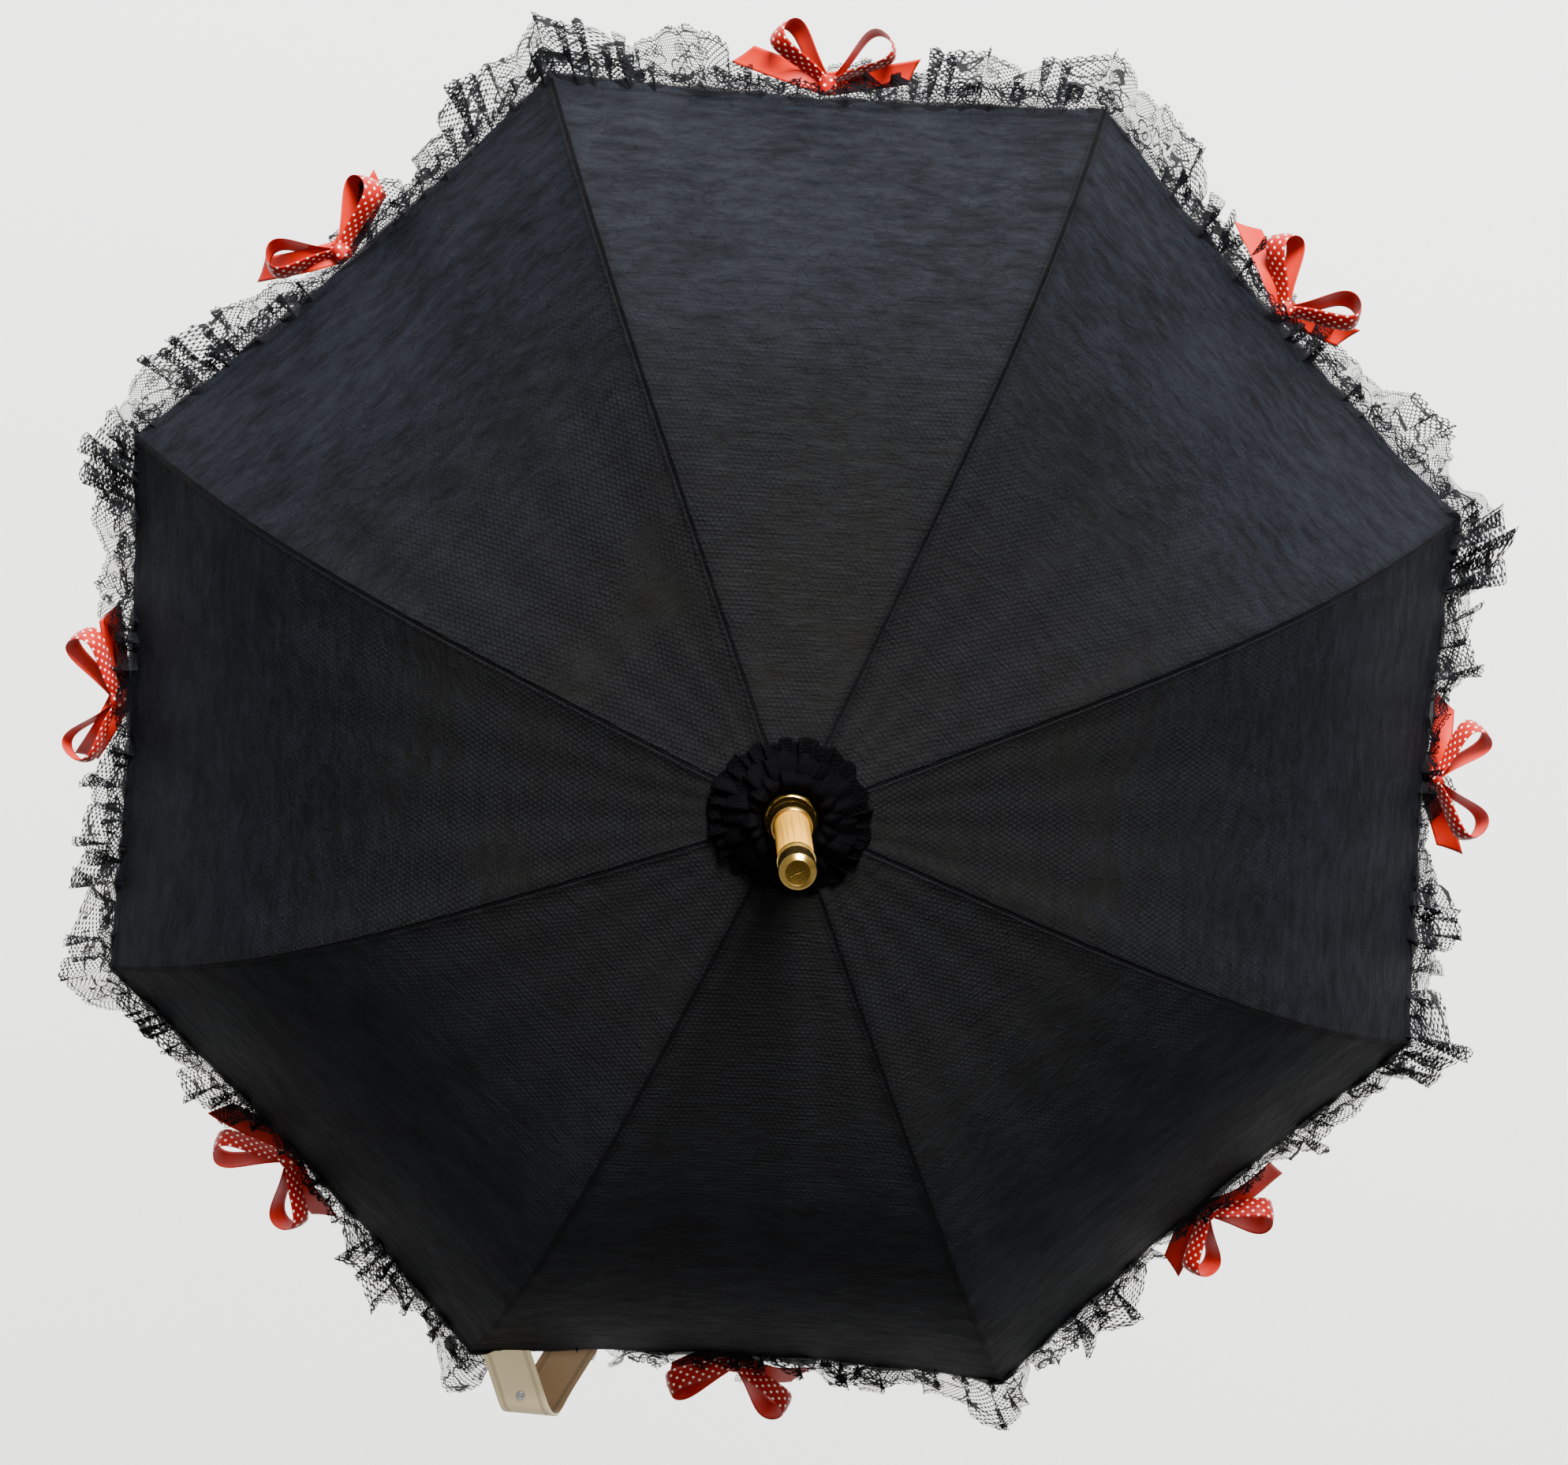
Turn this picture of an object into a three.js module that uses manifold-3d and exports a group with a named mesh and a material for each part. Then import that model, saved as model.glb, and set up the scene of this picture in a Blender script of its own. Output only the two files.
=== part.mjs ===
// A lace parasol with eight ribs, standing open with its ferrule up.
// Millimetres, +Z up along the stick. The origin is the middle of the hand grip.
import * as THREE from 'three';
import { mergeVertices } from 'three/addons/utils/BufferGeometryUtils.js';
import Module from 'manifold-3d';

const wasm = await Module();
wasm.setup();

// Driving dimensions
const ribCount = 8;
const rimRadius = 420; // stick axis to a hem corner
const crownZ = 575; // top of the cloth, carried in to the stick axis
const coneSlope = 0.14; // fall of the cloth near the crown
const rimDroop = 0.27; // extra fall at the rim, as a share of rimRadius
const droopPower = 5;
const clothThick = 1.2;
const gap = 0.3; // clearance between touching pieces
const panelSag = 0.02; // inward sag of a panel's middle, as a share of its width
const stickRadius = 7;
const stickBore = 7.35;
const hingeRadius = 12; // stick axis to the ribs' hinges and to the runner's hinges
const hingeZ = crownZ - 6.5;
const ribRadius = 1.6;
const ribDepth = clothThick + gap + ribRadius + 0.4; // cloth surface to the rib's centre line
const pivotStation = 236; // where along the cloth the stretcher's rivet sits
const pivotHang = 4.6; // rivet below the rib's centre line
const foldAngle = THREE.MathUtils.degToRad(66);
const laceWidth = 50;
const laceLean = THREE.MathUtils.degToRad(62); // lace below the level
const gripTop = 55;
const gripBottom = -45;
const gripRadius = 9.5;
const crookRadius = 34;

// Finishes
const finish = (color, roughness, metalness = 0) =>
  new THREE.MeshStandardMaterial({ color, roughness, metalness });
const paleWood = finish(0xd8a45c, 0.45);
const brass = finish(0xb8923a, 0.25, 1);
const steel = finish(0x8a8a8c, 0.35, 1);
const blackPaint = finish(0x141416, 0.4, 0.2);
const blackLace = finish(0x12131a, 0.9);
const navyCloth = finish(0x161a28, 0.85);
const redSatin = finish(0xb01812, 0.4);
const creamFelt = finish(0xd8c9a0, 0.95);

const parasol = new THREE.Group();

const addPiece = (name, geometry, material, parent = parasol) => {
  const mesh = new THREE.Mesh(geometry, material);
  mesh.name = name;
  parent.add(mesh);
};

// Booleans
const toSolid = (geometry) => {
  const plain = geometry.clone();
  plain.deleteAttribute('normal');
  plain.deleteAttribute('uv');
  const merged = mergeVertices(plain, 1e-4);
  return new wasm.Manifold(new wasm.Mesh({
    numProp: 3,
    vertProperties: new Float32Array(merged.attributes.position.array),
    triVerts: new Uint32Array(merged.index.array),
  }));
};

const toGeometry = (solid) => {
  const mesh = solid.getMesh();
  const geometry = new THREE.BufferGeometry();
  geometry.setAttribute('position', new THREE.BufferAttribute(mesh.vertProperties, 3));
  geometry.setIndex(new THREE.BufferAttribute(mesh.triVerts, 1));
  geometry.computeVertexNormals();
  return geometry;
};

const join = (geometries) => geometries.map(toSolid).reduce((all, solid) => all.add(solid));
const cut = (body, tools) => tools.map(toSolid).reduce((left, tool) => left.subtract(tool), body);

// Shapes
const turned = (profile, segments = 24) =>
  new THREE.LatheGeometry(profile.map(([r, z]) => new THREE.Vector2(r, z)), segments)
    .rotateX(Math.PI / 2);

const turnedRing = (profile, segments = 24) => turned([...profile, profile[0]], segments);

const block = (low, high) => {
  const size = high.map((value, i) => value - low[i]);
  const middle = high.map((value, i) => (value + low[i]) / 2);
  return new THREE.BoxGeometry(...size).translate(...middle);
};

// A rod along Y, centred over x and z
const crossRod = (radius, length, x, z, segments = 16) =>
  new THREE.CylinderGeometry(radius, radius, length, segments).translate(x, 0, z);

// An outline in the X-Z plane, given thickness along Y
const plate = (outline, thickness) => {
  const shape = new THREE.Shape(outline.map(([x, z]) => new THREE.Vector2(x, z)));
  return new THREE.ExtrudeGeometry(shape, { depth: thickness, bevelEnabled: false })
    .rotateX(Math.PI / 2)
    .translate(0, thickness / 2, 0);
};

const circle = (radius, segments) => {
  const points = Array.from({ length: segments }, (_, i) => {
    const angle = (2 * Math.PI * (i + 0.5)) / segments;
    return new THREE.Vector2(radius * Math.cos(angle), radius * Math.sin(angle));
  });
  return new THREE.Shape(points);
};

const tube = (path, radius, steps, segments) =>
  new THREE.ExtrudeGeometry(circle(radius, segments), { extrudePath: path, steps });

// A closed shell between an upper and a lower grid of points
const shell = (upper, lower) => {
  const rows = upper.length;
  const columns = upper[0].length;
  const points = [...upper.flat(), ...lower.flat()];
  const over = (i, j) => i * columns + j;
  const under = (i, j) => (rows + i) * columns + j;
  const faces = [];
  const quad = (a, b, c, d) => faces.push(a, b, c, a, c, d);
  for (let i = 0; i < rows - 1; i += 1) {
    for (let j = 0; j < columns - 1; j += 1) {
      quad(over(i, j), over(i + 1, j), over(i + 1, j + 1), over(i, j + 1));
      quad(under(i, j), under(i, j + 1), under(i + 1, j + 1), under(i + 1, j));
    }
    const last = columns - 1;
    quad(over(i, 0), under(i, 0), under(i + 1, 0), over(i + 1, 0));
    quad(over(i + 1, last), under(i + 1, last), under(i, last), over(i, last));
  }
  for (let j = 0; j < columns - 1; j += 1) {
    const last = rows - 1;
    quad(over(0, j + 1), under(0, j + 1), under(0, j), over(0, j));
    quad(over(last, j), under(last, j), under(last, j + 1), over(last, j + 1));
  }
  const geometry = new THREE.BufferGeometry();
  geometry.setAttribute('position', new THREE.BufferAttribute(
    new Float32Array(points.flatMap((p) => p.toArray())), 3));
  geometry.setIndex(faces);
  geometry.computeVertexNormals();
  return geometry;
};

// The cloth's line over a rib: r is the distance from the stick axis, z the height
const clothFall = (r) => coneSlope * r + rimDroop * rimRadius * (r / rimRadius) ** droopPower;
const clothAngle = (r) =>
  Math.atan(coneSlope + rimDroop * droopPower * (r / rimRadius) ** (droopPower - 1));
const underCloth = (r, depth) =>
  [r - depth * Math.sin(clothAngle(r)), crownZ - clothFall(r) - depth * Math.cos(clothAngle(r))];
const halfPanel = Math.PI / ribCount;
const ribTurn = (k) => halfPanel * (2 * k - 1);

// The folding linkage: each stretcher is as long as the rib from its hinge to the rivet,
// so the runner's hinges stay under the ribs' hinges at every angle
const [pivotX, pivotZ] = underCloth(pivotStation, ribDepth + pivotHang);
const linkDrop = hingeZ - pivotZ;
const linkLength = Math.hypot(pivotX - hingeRadius, linkDrop);
const runnerZ = hingeZ - 2 * linkDrop;
const openAngle = Math.atan2(linkDrop, pivotX - hingeRadius);
const runnerTravel = 2 * linkLength * Math.sin(openAngle + foldAngle) - 2 * linkDrop;

// Runner and catch heights
const ringHalf = 6;
const sleeveLength = 52;
const runnerBottom = runnerZ - ringHalf - sleeveLength;
const windowLow = 12; // runner's bottom edge to its window
const windowHeight = 21;
const catchWidth = 3.4;
const catchHeight = 28;
const catchReach = 11;
const topCatchLow = runnerBottom - 1 - catchHeight;
const bottomCatchLow = runnerBottom - runnerTravel + windowLow + 1;

// Stick, slotted for the two catch springs
const spikeSocket = 38;
{
  const low = gripTop - 30;
  const high = crownZ + spikeSocket;
  const stick = turned([[0, low], [stickRadius, low], [stickRadius, high], [0, high]]);
  const half = catchWidth / 2 + gap;
  const slots = [topCatchLow, bottomCatchLow].map((z) =>
    block([-3.6, -half, z - 1], [stickRadius + 2, half, z + catchHeight + 1]));
  addPiece('shaft', toGeometry(cut(toSolid(stick), slots)), paleWood);
}

// Catch springs: steel leaves that press into the stick's slots
{
  const leaf = [[2.6, 0], [5, 0], [6.4, 9], [catchReach, 25], [catchReach, catchHeight],
    [4, catchHeight], [2.6, 23]];
  const shoulderUp = leaf.map(([x, z]) => [x, topCatchLow + z]);
  const shoulderDown = leaf.map(([x, z]) => [x, bottomCatchLow + catchHeight - z]).reverse();
  addPiece('top_catch_spring', plate(shoulderUp, catchWidth), steel);
  addPiece('bottom_catch_spring', plate(shoulderDown, catchWidth), steel);
}

// Ferrule: wood spike on the stick, brass cap on its end, brass collar at its foot
{
  const foot = crownZ + 3;
  const socketTop = crownZ + spikeSocket + gap;
  const neck = crownZ + 97;
  const tip = crownZ + 120;
  const spikeRadius = 10.2;
  const spike = [[0, socketTop], [stickBore, socketTop], [stickBore, foot], [spikeRadius, foot],
    [spikeRadius, neck - 6], [9.4, neck - 4.5], [9.4, neck + 10], [0, neck + 10]];
  addPiece('ferrule_spike', turned(spike, 24), paleWood);
  const cap = [[0, neck + 10.3], [9.7, neck + 10.3], [9.7, neck - 4], [10.7, neck - 4],
    [10.7, neck - 1.5], [10.2, neck - 0.8], [10.2, neck + 2], [10.5, neck + 3],
    [10.5, tip - 3.2], [7.4, tip], [0, tip]];
  addPiece('ferrule_cap', turned(cap, 24), brass);
  const collar = [[10.5, crownZ + 0.6], [15.4, crownZ + 0.6], [15.4, crownZ + 4.4],
    [14, crownZ + 5.4], [13.8, crownZ + 12], [12.9, crownZ + 13.4], [12.6, crownZ + 20],
    [11.6, crownZ + 23], [10.5, crownZ + 23]];
  addPiece('crown_collar', turnedRing(collar, 24), brass);
}

// Rosette: gathered cloth around the collar
{
  const seat = (r) => crownZ + 0.4 - coneSlope * r;
  const inner = 15.8;
  const outer = 47;
  const rosette = [[inner, seat(inner)], [outer, seat(outer)], [outer + 1, seat(outer) + 3],
    [40, crownZ + 4.5], [28, crownZ + 11], [19, crownZ + 12.5], [inner, crownZ + 9]];
  addPiece('outer_rosette', turnedRing(rosette), blackLace);
}

// Notched rings that hold the hinge wires: the crown notch and the runner
const notchRadius = 15.2;
const notchCore = 8.7;
const notchSlot = 2.8;
const wireBore = 1.05;
const ringWire = (z, radius) =>
  new THREE.TorusGeometry(hingeRadius, radius, 6, 16).translate(0, 0, z);
const notchCuts = (z, low, high) => {
  const slots = Array.from({ length: ribCount }, (_, i) =>
    block([notchCore, -notchSlot / 2, low - 1], [notchRadius + 2, notchSlot / 2, high + 1])
      .rotateZ(ribTurn(i + 1)));
  return [...slots, ringWire(z, wireBore)];
};
{
  const low = hingeZ - ringHalf;
  const high = hingeZ + 4.6;
  const notch = turnedRing([[stickBore, low], [notchRadius, low], [notchRadius, high],
    [stickBore, high]]);
  addPiece('crown_notch', toGeometry(cut(toSolid(notch), notchCuts(hingeZ, low, high))), blackPaint);
  addPiece('crown_wire', ringWire(hingeZ, 0.7), steel);
}
{
  const low = runnerZ - ringHalf;
  const high = runnerZ + ringHalf;
  const runner = turnedRing([[stickBore, runnerBottom], [10.6, runnerBottom],
    [10.6, runnerBottom + 3], [9.6, runnerBottom + 4], [9.6, low - 3], [12.6, low],
    [notchRadius, low], [notchRadius, high], [stickBore, high]]);
  const window = block([4, -catchWidth / 2 - 0.7, runnerBottom + windowLow],
    [14, catchWidth / 2 + 0.7, runnerBottom + windowLow + windowHeight]);
  const cuts = notchCuts(runnerZ, low + 0.01, high);
  addPiece('runner', toGeometry(cut(toSolid(runner), [...cuts, window])), blackPaint);
  addPiece('runner_wire', ringWire(runnerZ, 0.7), steel);
}

// Ribs and stretchers
const blade = 2; // thickness of the flattened ends
const eyeRadius = 3;
const eyeBore = 1.1;
const lugRadius = 2.4;
const ribGeometry = () => {
  const shankEnd = 24;
  const line = Array.from({ length: 17 }, (_, i) => {
    const r = shankEnd - 3 + ((rimRadius + 5 - shankEnd) * i) / 16;
    const [x, z] = underCloth(r, ribDepth);
    return new THREE.Vector3(x, 0, z);
  });
  const [shankX, shankZ] = underCloth(shankEnd, ribDepth);
  const shank = [[hingeRadius, hingeZ - 1.7], [shankX, shankZ - 1.5], [shankX, shankZ + 1.5],
    [hingeRadius, hingeZ + 1.7]];
  const lug = [[pivotX - lugRadius, pivotZ], [pivotX + lugRadius, pivotZ],
    [pivotX + lugRadius, pivotZ + pivotHang - 0.7], [pivotX - lugRadius, pivotZ + pivotHang + 0.3]];
  const [tipX, tipZ] = underCloth(rimRadius + 3, ribDepth + 1);
  const rib = join([
    tube(new THREE.CatmullRomCurve3(line), ribRadius, 15, 6),
    plate(shank, blade),
    crossRod(eyeRadius, blade, hingeRadius, hingeZ, 12),
    plate(lug, blade),
    crossRod(lugRadius, blade, pivotX, pivotZ, 12),
    new THREE.SphereGeometry(2.4, 8, 6).translate(tipX, 0, tipZ),
  ]);
  return toGeometry(cut(rib, [
    crossRod(eyeBore, 6, hingeRadius, hingeZ, 8),
    crossRod(eyeBore, 6, pivotX, pivotZ, 8),
  ]));
};
const stretcherGeometry = () => {
  const end = linkLength;
  const cheeks = [-1, 1].flatMap((side) => [
    new THREE.BoxGeometry(14, 1.1, 3.2).translate(end - 7, side * 1.9, 0),
    crossRod(lugRadius, 1.1, end, 0, 12).translate(0, side * 1.9, 0),
  ]);
  const line = new THREE.LineCurve3(new THREE.Vector3(9, 0, 0), new THREE.Vector3(end - 9, 0, 0));
  const stretcher = join([
    tube(line, 1.5, 1, 6),
    new THREE.BoxGeometry(12, blade, 3).translate(6, 0, 0),
    crossRod(eyeRadius, blade, 0, 0, 12),
    new THREE.BoxGeometry(5, 4.9, 3.2).translate(end - 11.5, 0, 0),
    crossRod(0.75, 5.6, end, 0, 8),
    ...cheeks,
  ]);
  return toGeometry(cut(stretcher, [crossRod(eyeBore, 6, 0, 0, 8)]))
    .rotateY(-openAngle)
    .translate(hingeRadius, 0, runnerZ);
};

// Cloth over one rib. across runs from -1 to 1, from one panel's middle over the rib to the next
const seamGap = 0.15;
const clothNormal = (angle, turn) => new THREE.Vector3(
  Math.sin(angle) * Math.cos(turn), Math.sin(angle) * Math.sin(turn), Math.cos(angle));
const clothPoint = (r, across, lift) => {
  const side = Math.abs(across);
  const half = r * Math.sin(halfPanel);
  const run = (half - seamGap) * side;
  const sag = panelSag * 2 * half * (1 - (1 - side) ** 2);
  const point = new THREE.Vector3(r - run * Math.sin(halfPanel),
    run * Math.cos(halfPanel) * Math.sign(across), crownZ - clothFall(r));
  return point.addScaledVector(clothNormal(clothAngle(r), halfPanel * across), lift - sag);
};
const lacePoint = (down, across, lift) => {
  const turn = halfPanel * across;
  return clothPoint(rimRadius, across, lift).add(new THREE.Vector3(
    down * Math.cos(laceLean) * Math.cos(turn), down * Math.cos(laceLean) * Math.sin(turn),
    -down * Math.sin(laceLean)));
};
const sheet = (rows, columns, pointAt) => {
  const grid = (lift) => rows.map((row) =>
    Array.from({ length: columns }, (_, j) => pointAt(row, (2 * j) / (columns - 1) - 1, lift)));
  return shell(grid(0), grid(-clothThick));
};
const goreRows = [17, 80, 140, 190, 230, 262, 290, 312, 332, 350, 367, 383, 397, 409, rimRadius];

// Bow at the middle of a hem: knot, two loops and two tails on the cloth's outer face
const bowGeometry = () => {
  const loop = [[3, -4], [22, -11], [36, -9], [38, 0], [36, 9], [22, 11], [3, 4]];
  const loops = [-1, 1].map((side) => {
    const outline = side > 0 ? loop : loop.map(([x, y]) => [-x, y]).reverse();
    const shape = new THREE.Shape(outline.map(([x, y]) => new THREE.Vector2(x, y)));
    return new THREE.ExtrudeGeometry(shape, { depth: 9, bevelEnabled: false });
  });
  const tails = [-1, 1].map((side) => new THREE.BoxGeometry(15, 44, 2)
    .translate(0, -22, 1)
    .rotateZ(side * 0.62));
  const knot = new THREE.BoxGeometry(12, 13, 11).translate(0, 0, 5.5);
  const bow = toGeometry(join([knot, ...loops, ...tails]));
  const middle = clothPoint(rimRadius, 1, 1.2);
  const turn = halfPanel;
  const angle = clothAngle(rimRadius);
  const across = new THREE.Vector3(-Math.sin(turn), Math.cos(turn), 0);
  const out = clothNormal(angle, turn);
  const up = new THREE.Vector3().crossVectors(out, across);
  return bow.applyMatrix4(new THREE.Matrix4().makeBasis(across, up, out).setPosition(middle));
};

for (let k = 1; k <= ribCount; k += 1) {
  const spoke = new THREE.Group();
  spoke.rotation.z = ribTurn(k);
  parasol.add(spoke);
  addPiece(`rib_${k}`, ribGeometry(), blackPaint, spoke);
  addPiece(`stretcher_${k}`, stretcherGeometry(), blackPaint, spoke);
  addPiece(`canopy_gore_${k}`, sheet(goreRows, 7, clothPoint), navyCloth, spoke);
  addPiece(`lace_trim_${k}`, sheet([gap, 28, laceWidth], 7, lacePoint), blackLace, spoke);
  addPiece(`bow_${k}`, bowGeometry(), redSatin, spoke);
}

// Closing strap: a felt band folded over on itself beyond the hem, next to one corner
{
  const strapRib = 6;
  const strapWidth = 28;
  const thick = 1.5;
  const spoke = new THREE.Group();
  spoke.rotation.z = ribTurn(strapRib);
  parasol.add(spoke);
  const band = new THREE.Group();
  band.position.copy(clothPoint(rimRadius, 0.12, 0));
  band.rotation.z = halfPanel;
  spoke.add(band);
  const outer = [[1, 1.5], [34, -16], [38, -20], [38, -25], [34, -28.5], [19, -27.5]];
  const inner = [[19.1, -27.5 + thick], [33, -28.5 + thick], [36.4, -24.6], [36.4, -20.8],
    [33.2, -17.6], [1.7, 0.2 + 0.1]];
  const outline = [...outer].reverse().concat([...inner].reverse());
  addPiece('closing_strap', plate(outline, strapWidth).translate(0, strapWidth / 2 + 4, 0), creamFelt, band);
  const snap = new THREE.CylinderGeometry(6, 6, 1.8, 20)
    .rotateX(Math.PI / 2)
    .translate(0, 0, 0.9 + gap)
    .rotateY(Math.atan2(17.5, 33))
    .translate(22, strapWidth / 2 + 4, -9.6);
  addPiece('strap_snap', snap, steel, band);
}

// Handle: brass collar and a wooden crook bored for the stick
{
  const collar = turnedRing([[stickBore, gripTop + gap], [10.6, gripTop + gap],
    [10.6, gripTop + 11], [8.6, gripTop + 14], [stickBore, gripTop + 14]]);
  addPiece('handle_collar', collar, brass);
  const bend = Array.from({ length: 15 }, (_, i) => {
    const angle = Math.PI - (i / 14) * Math.PI * 1.06;
    return new THREE.Vector3(crookRadius * (1 + Math.cos(angle)), 0,
      gripBottom - crookRadius * Math.sin(angle));
  });
  const line = [new THREE.Vector3(0, 0, gripTop), new THREE.Vector3(0, 0, 20),
    new THREE.Vector3(0, 0, -15), ...bend];
  const crook = tube(new THREE.CatmullRomCurve3(line), gripRadius, 24, 12);
  const bore = turned([[0, gripTop - 30 - gap], [stickBore, gripTop - 30 - gap],
    [stickBore, gripTop + 5], [0, gripTop + 5]]);
  addPiece('handle_crook', toGeometry(cut(toSolid(crook), [bore])), paleWood);
}

export default parasol;
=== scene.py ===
import math

import bpy
import numpy as np
from mathutils import Matrix, Vector


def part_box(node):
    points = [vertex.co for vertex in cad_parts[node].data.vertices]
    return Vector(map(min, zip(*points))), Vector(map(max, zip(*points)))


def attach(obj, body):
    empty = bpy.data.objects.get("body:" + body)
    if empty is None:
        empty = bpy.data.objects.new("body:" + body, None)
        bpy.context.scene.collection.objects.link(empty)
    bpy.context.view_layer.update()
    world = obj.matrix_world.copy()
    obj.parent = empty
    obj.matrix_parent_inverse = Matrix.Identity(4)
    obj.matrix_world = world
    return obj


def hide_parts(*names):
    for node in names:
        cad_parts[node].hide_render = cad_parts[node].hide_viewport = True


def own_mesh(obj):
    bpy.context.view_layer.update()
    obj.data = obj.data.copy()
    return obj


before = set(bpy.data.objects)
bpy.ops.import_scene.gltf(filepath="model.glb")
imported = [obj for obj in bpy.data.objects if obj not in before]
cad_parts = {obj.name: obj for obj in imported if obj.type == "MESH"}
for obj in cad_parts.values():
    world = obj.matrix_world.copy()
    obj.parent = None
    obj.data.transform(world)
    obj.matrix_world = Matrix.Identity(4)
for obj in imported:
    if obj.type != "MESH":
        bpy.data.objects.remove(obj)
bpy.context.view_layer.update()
ribCount = 8
halfPanel = math.pi / ribCount
upward = np.array([0.0, 0.0, 1.0])


# Small shader language: every node is made by Finish.node, every sum by Wire.

class Wire:
    def __init__(self, finish, socket):
        self.finish = finish
        self.socket = socket

    def maths(self, operation, *values):
        return self.finish.node("ShaderNodeMath", {"operation": operation}, dict(enumerate(values)))

    def __add__(self, other):
        return self.maths("ADD", self, other)

    def __radd__(self, other):
        return self.maths("ADD", other, self)

    def __sub__(self, other):
        return self.maths("SUBTRACT", self, other)

    def __rsub__(self, other):
        return self.maths("SUBTRACT", other, self)

    def __mul__(self, other):
        return self.maths("MULTIPLY", self, other)

    def __rmul__(self, other):
        return self.maths("MULTIPLY", other, self)

    def __truediv__(self, other):
        return self.maths("DIVIDE", self, other)

    def __rtruediv__(self, other):
        return self.maths("DIVIDE", other, self)

    def __pow__(self, other):
        return self.maths("POWER", self, other)

    def __abs__(self):
        return self.maths("ABSOLUTE", self)

    def __mod__(self, other):
        return self.maths("FLOORED_MODULO", self, other)

    def sine(self):
        return self.maths("SINE", self)

    def least(self, other):
        return self.maths("MINIMUM", self, other)

    def most(self, other):
        return self.maths("MAXIMUM", self, other)

    def step(self, low, high):
        # 0 at low, 1 at high, smooth between
        settings = {"interpolation_type": "SMOOTHSTEP", "clamp": True}
        links = {"Value": self, "From Min": low, "From Max": high}
        return self.finish.node("ShaderNodeMapRange", settings, links)


class Finish:
    def __init__(self, name, base=(0.5, 0.5, 0.5), **values):
        self.material = bpy.data.materials.new(name)
        self.material.use_nodes = True
        self.tree = self.material.node_tree
        self.shader = self.tree.nodes["Principled BSDF"]
        self.set("Base Color", (*base, 1.0))
        for key, value in values.items():
            self.set(key, value)

    def feed(self, socket, value):
        if isinstance(value, Wire):
            self.tree.links.new(value.socket, socket)
        else:
            socket.default_value = value

    def set(self, key, value):
        self.feed(self.shader.inputs[key], value)

    def node(self, kind, settings, links, output=0):
        made = self.tree.nodes.new(kind)
        for key, value in settings.items():
            setattr(made, key, value)
        for key, value in links.items():
            self.feed(made.inputs[key], value)
        return Wire(self, made.outputs[output])

    def map(self, name):
        return self.node("ShaderNodeUVMap", {"uv_map": name}, {})

    def split(self, vector):
        return [self.node("ShaderNodeSeparateXYZ", {}, {0: vector}, axis) for axis in range(3)]

    def flat(self, name):
        return self.split(self.map(name))[:2]

    def vector(self, x, y, z):
        return self.node("ShaderNodeCombineXYZ", {}, {0: x, 1: y, 2: z})

    def noise(self, vector, scale, detail, roughness=0.5):
        links = {"Vector": vector, "Scale": scale, "Detail": detail, "Roughness": roughness}
        return self.node("ShaderNodeTexNoise", {}, links)

    def grain(self, x, y, z, detail, roughness=0.5):
        # noise with a scale of its own along each coordinate
        return self.noise(self.vector(x, y, z), 1.0, detail, roughness)

    def mix(self, low, high, share):
        settings = {"data_type": "RGBA"}
        low, high = [(*c, 1.0) if isinstance(c, tuple) else c for c in (low, high)]
        return self.node("ShaderNodeMix", settings, {0: share, 6: low, 7: high}, 2)

    def colour(self, low, high, share):
        self.set("Base Color", self.mix(low, high, share))

    def relief(self, height, distance, strength):
        links = {"Height": height, "Distance": distance, "Strength": strength}
        self.set("Normal", self.node("ShaderNodeBump", {}, links))


def beat(coordinate, pitch):
    # a sine wave with one wave in each pitch
    return (coordinate * (2 * math.pi / pitch)).sine()


def hexNet(u, v, pitch, line):
    # 1 on the threads of a hexagonal net, 0 in its holes
    x, y = u / pitch, v / pitch
    tall = math.sqrt(3.0)

    def cell(a, b):
        ax = abs(a % 1.0 - 0.5)
        ay = abs(b % tall - tall / 2)
        return ax.most(ax * 0.5 + ay * (tall / 2))

    inside = cell(x, y).least(cell(x - 0.5, y - tall / 2))
    edge = (0.5 - inside) * pitch
    return edge.step(line, line * 0.5)


# Mesh helpers

def runAlong(line):
    # distance along a row of points, from 0
    return np.concatenate([[0], np.cumsum(np.linalg.norm(np.diff(line, axis=0), axis=1))])


def unitRows(rows):
    return rows / np.linalg.norm(rows, axis=1)[:, None]


def lineFrame(line, side):
    # tangents along line, and side turned square to them
    tangent = unitRows(np.gradient(line, axis=0))
    side = np.broadcast_to(np.asarray(side, float), line.shape)
    return tangent, unitRows(side - (side * tangent).sum(1)[:, None] * tangent)


def makeMesh(name, points, faces, maps=None, slots=None):
    mesh = bpy.data.meshes.new(name)
    mesh.from_pydata([tuple(p) for p in points], [], faces)
    corners = np.array([i for f in faces for i in f])
    for key, values in (maps or {}).items():
        layer = mesh.uv_layers.new(name=key)
        layer.data.foreach_set("uv", np.asarray(values, np.float32)[corners].ravel())
    if slots is not None:
        mesh.polygons.foreach_set("material_index", np.asarray(slots, np.int32))
    mesh.polygons.foreach_set("use_smooth", np.ones(len(faces), bool))
    mesh.update()
    return mesh


def gridFaces(rows, columns, start=0, flip=False, wrap=False):
    faces = []
    for i in range(rows - 1):
        for j in range(columns if wrap else columns - 1):
            k = (j + 1) % columns
            face = [start + i * columns + j, start + (i + 1) * columns + j,
                    start + (i + 1) * columns + k, start + i * columns + k]
            faces.append(face[::-1] if flip else face)
    return faces


def openSheet(name, grid, maps):
    rows, columns = grid.shape[:2]
    flat = {key: value.reshape(-1, 2) for key, value in maps.items()}
    return makeMesh(name, grid.reshape(-1, 3), gridFaces(rows, columns), flat)


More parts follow.
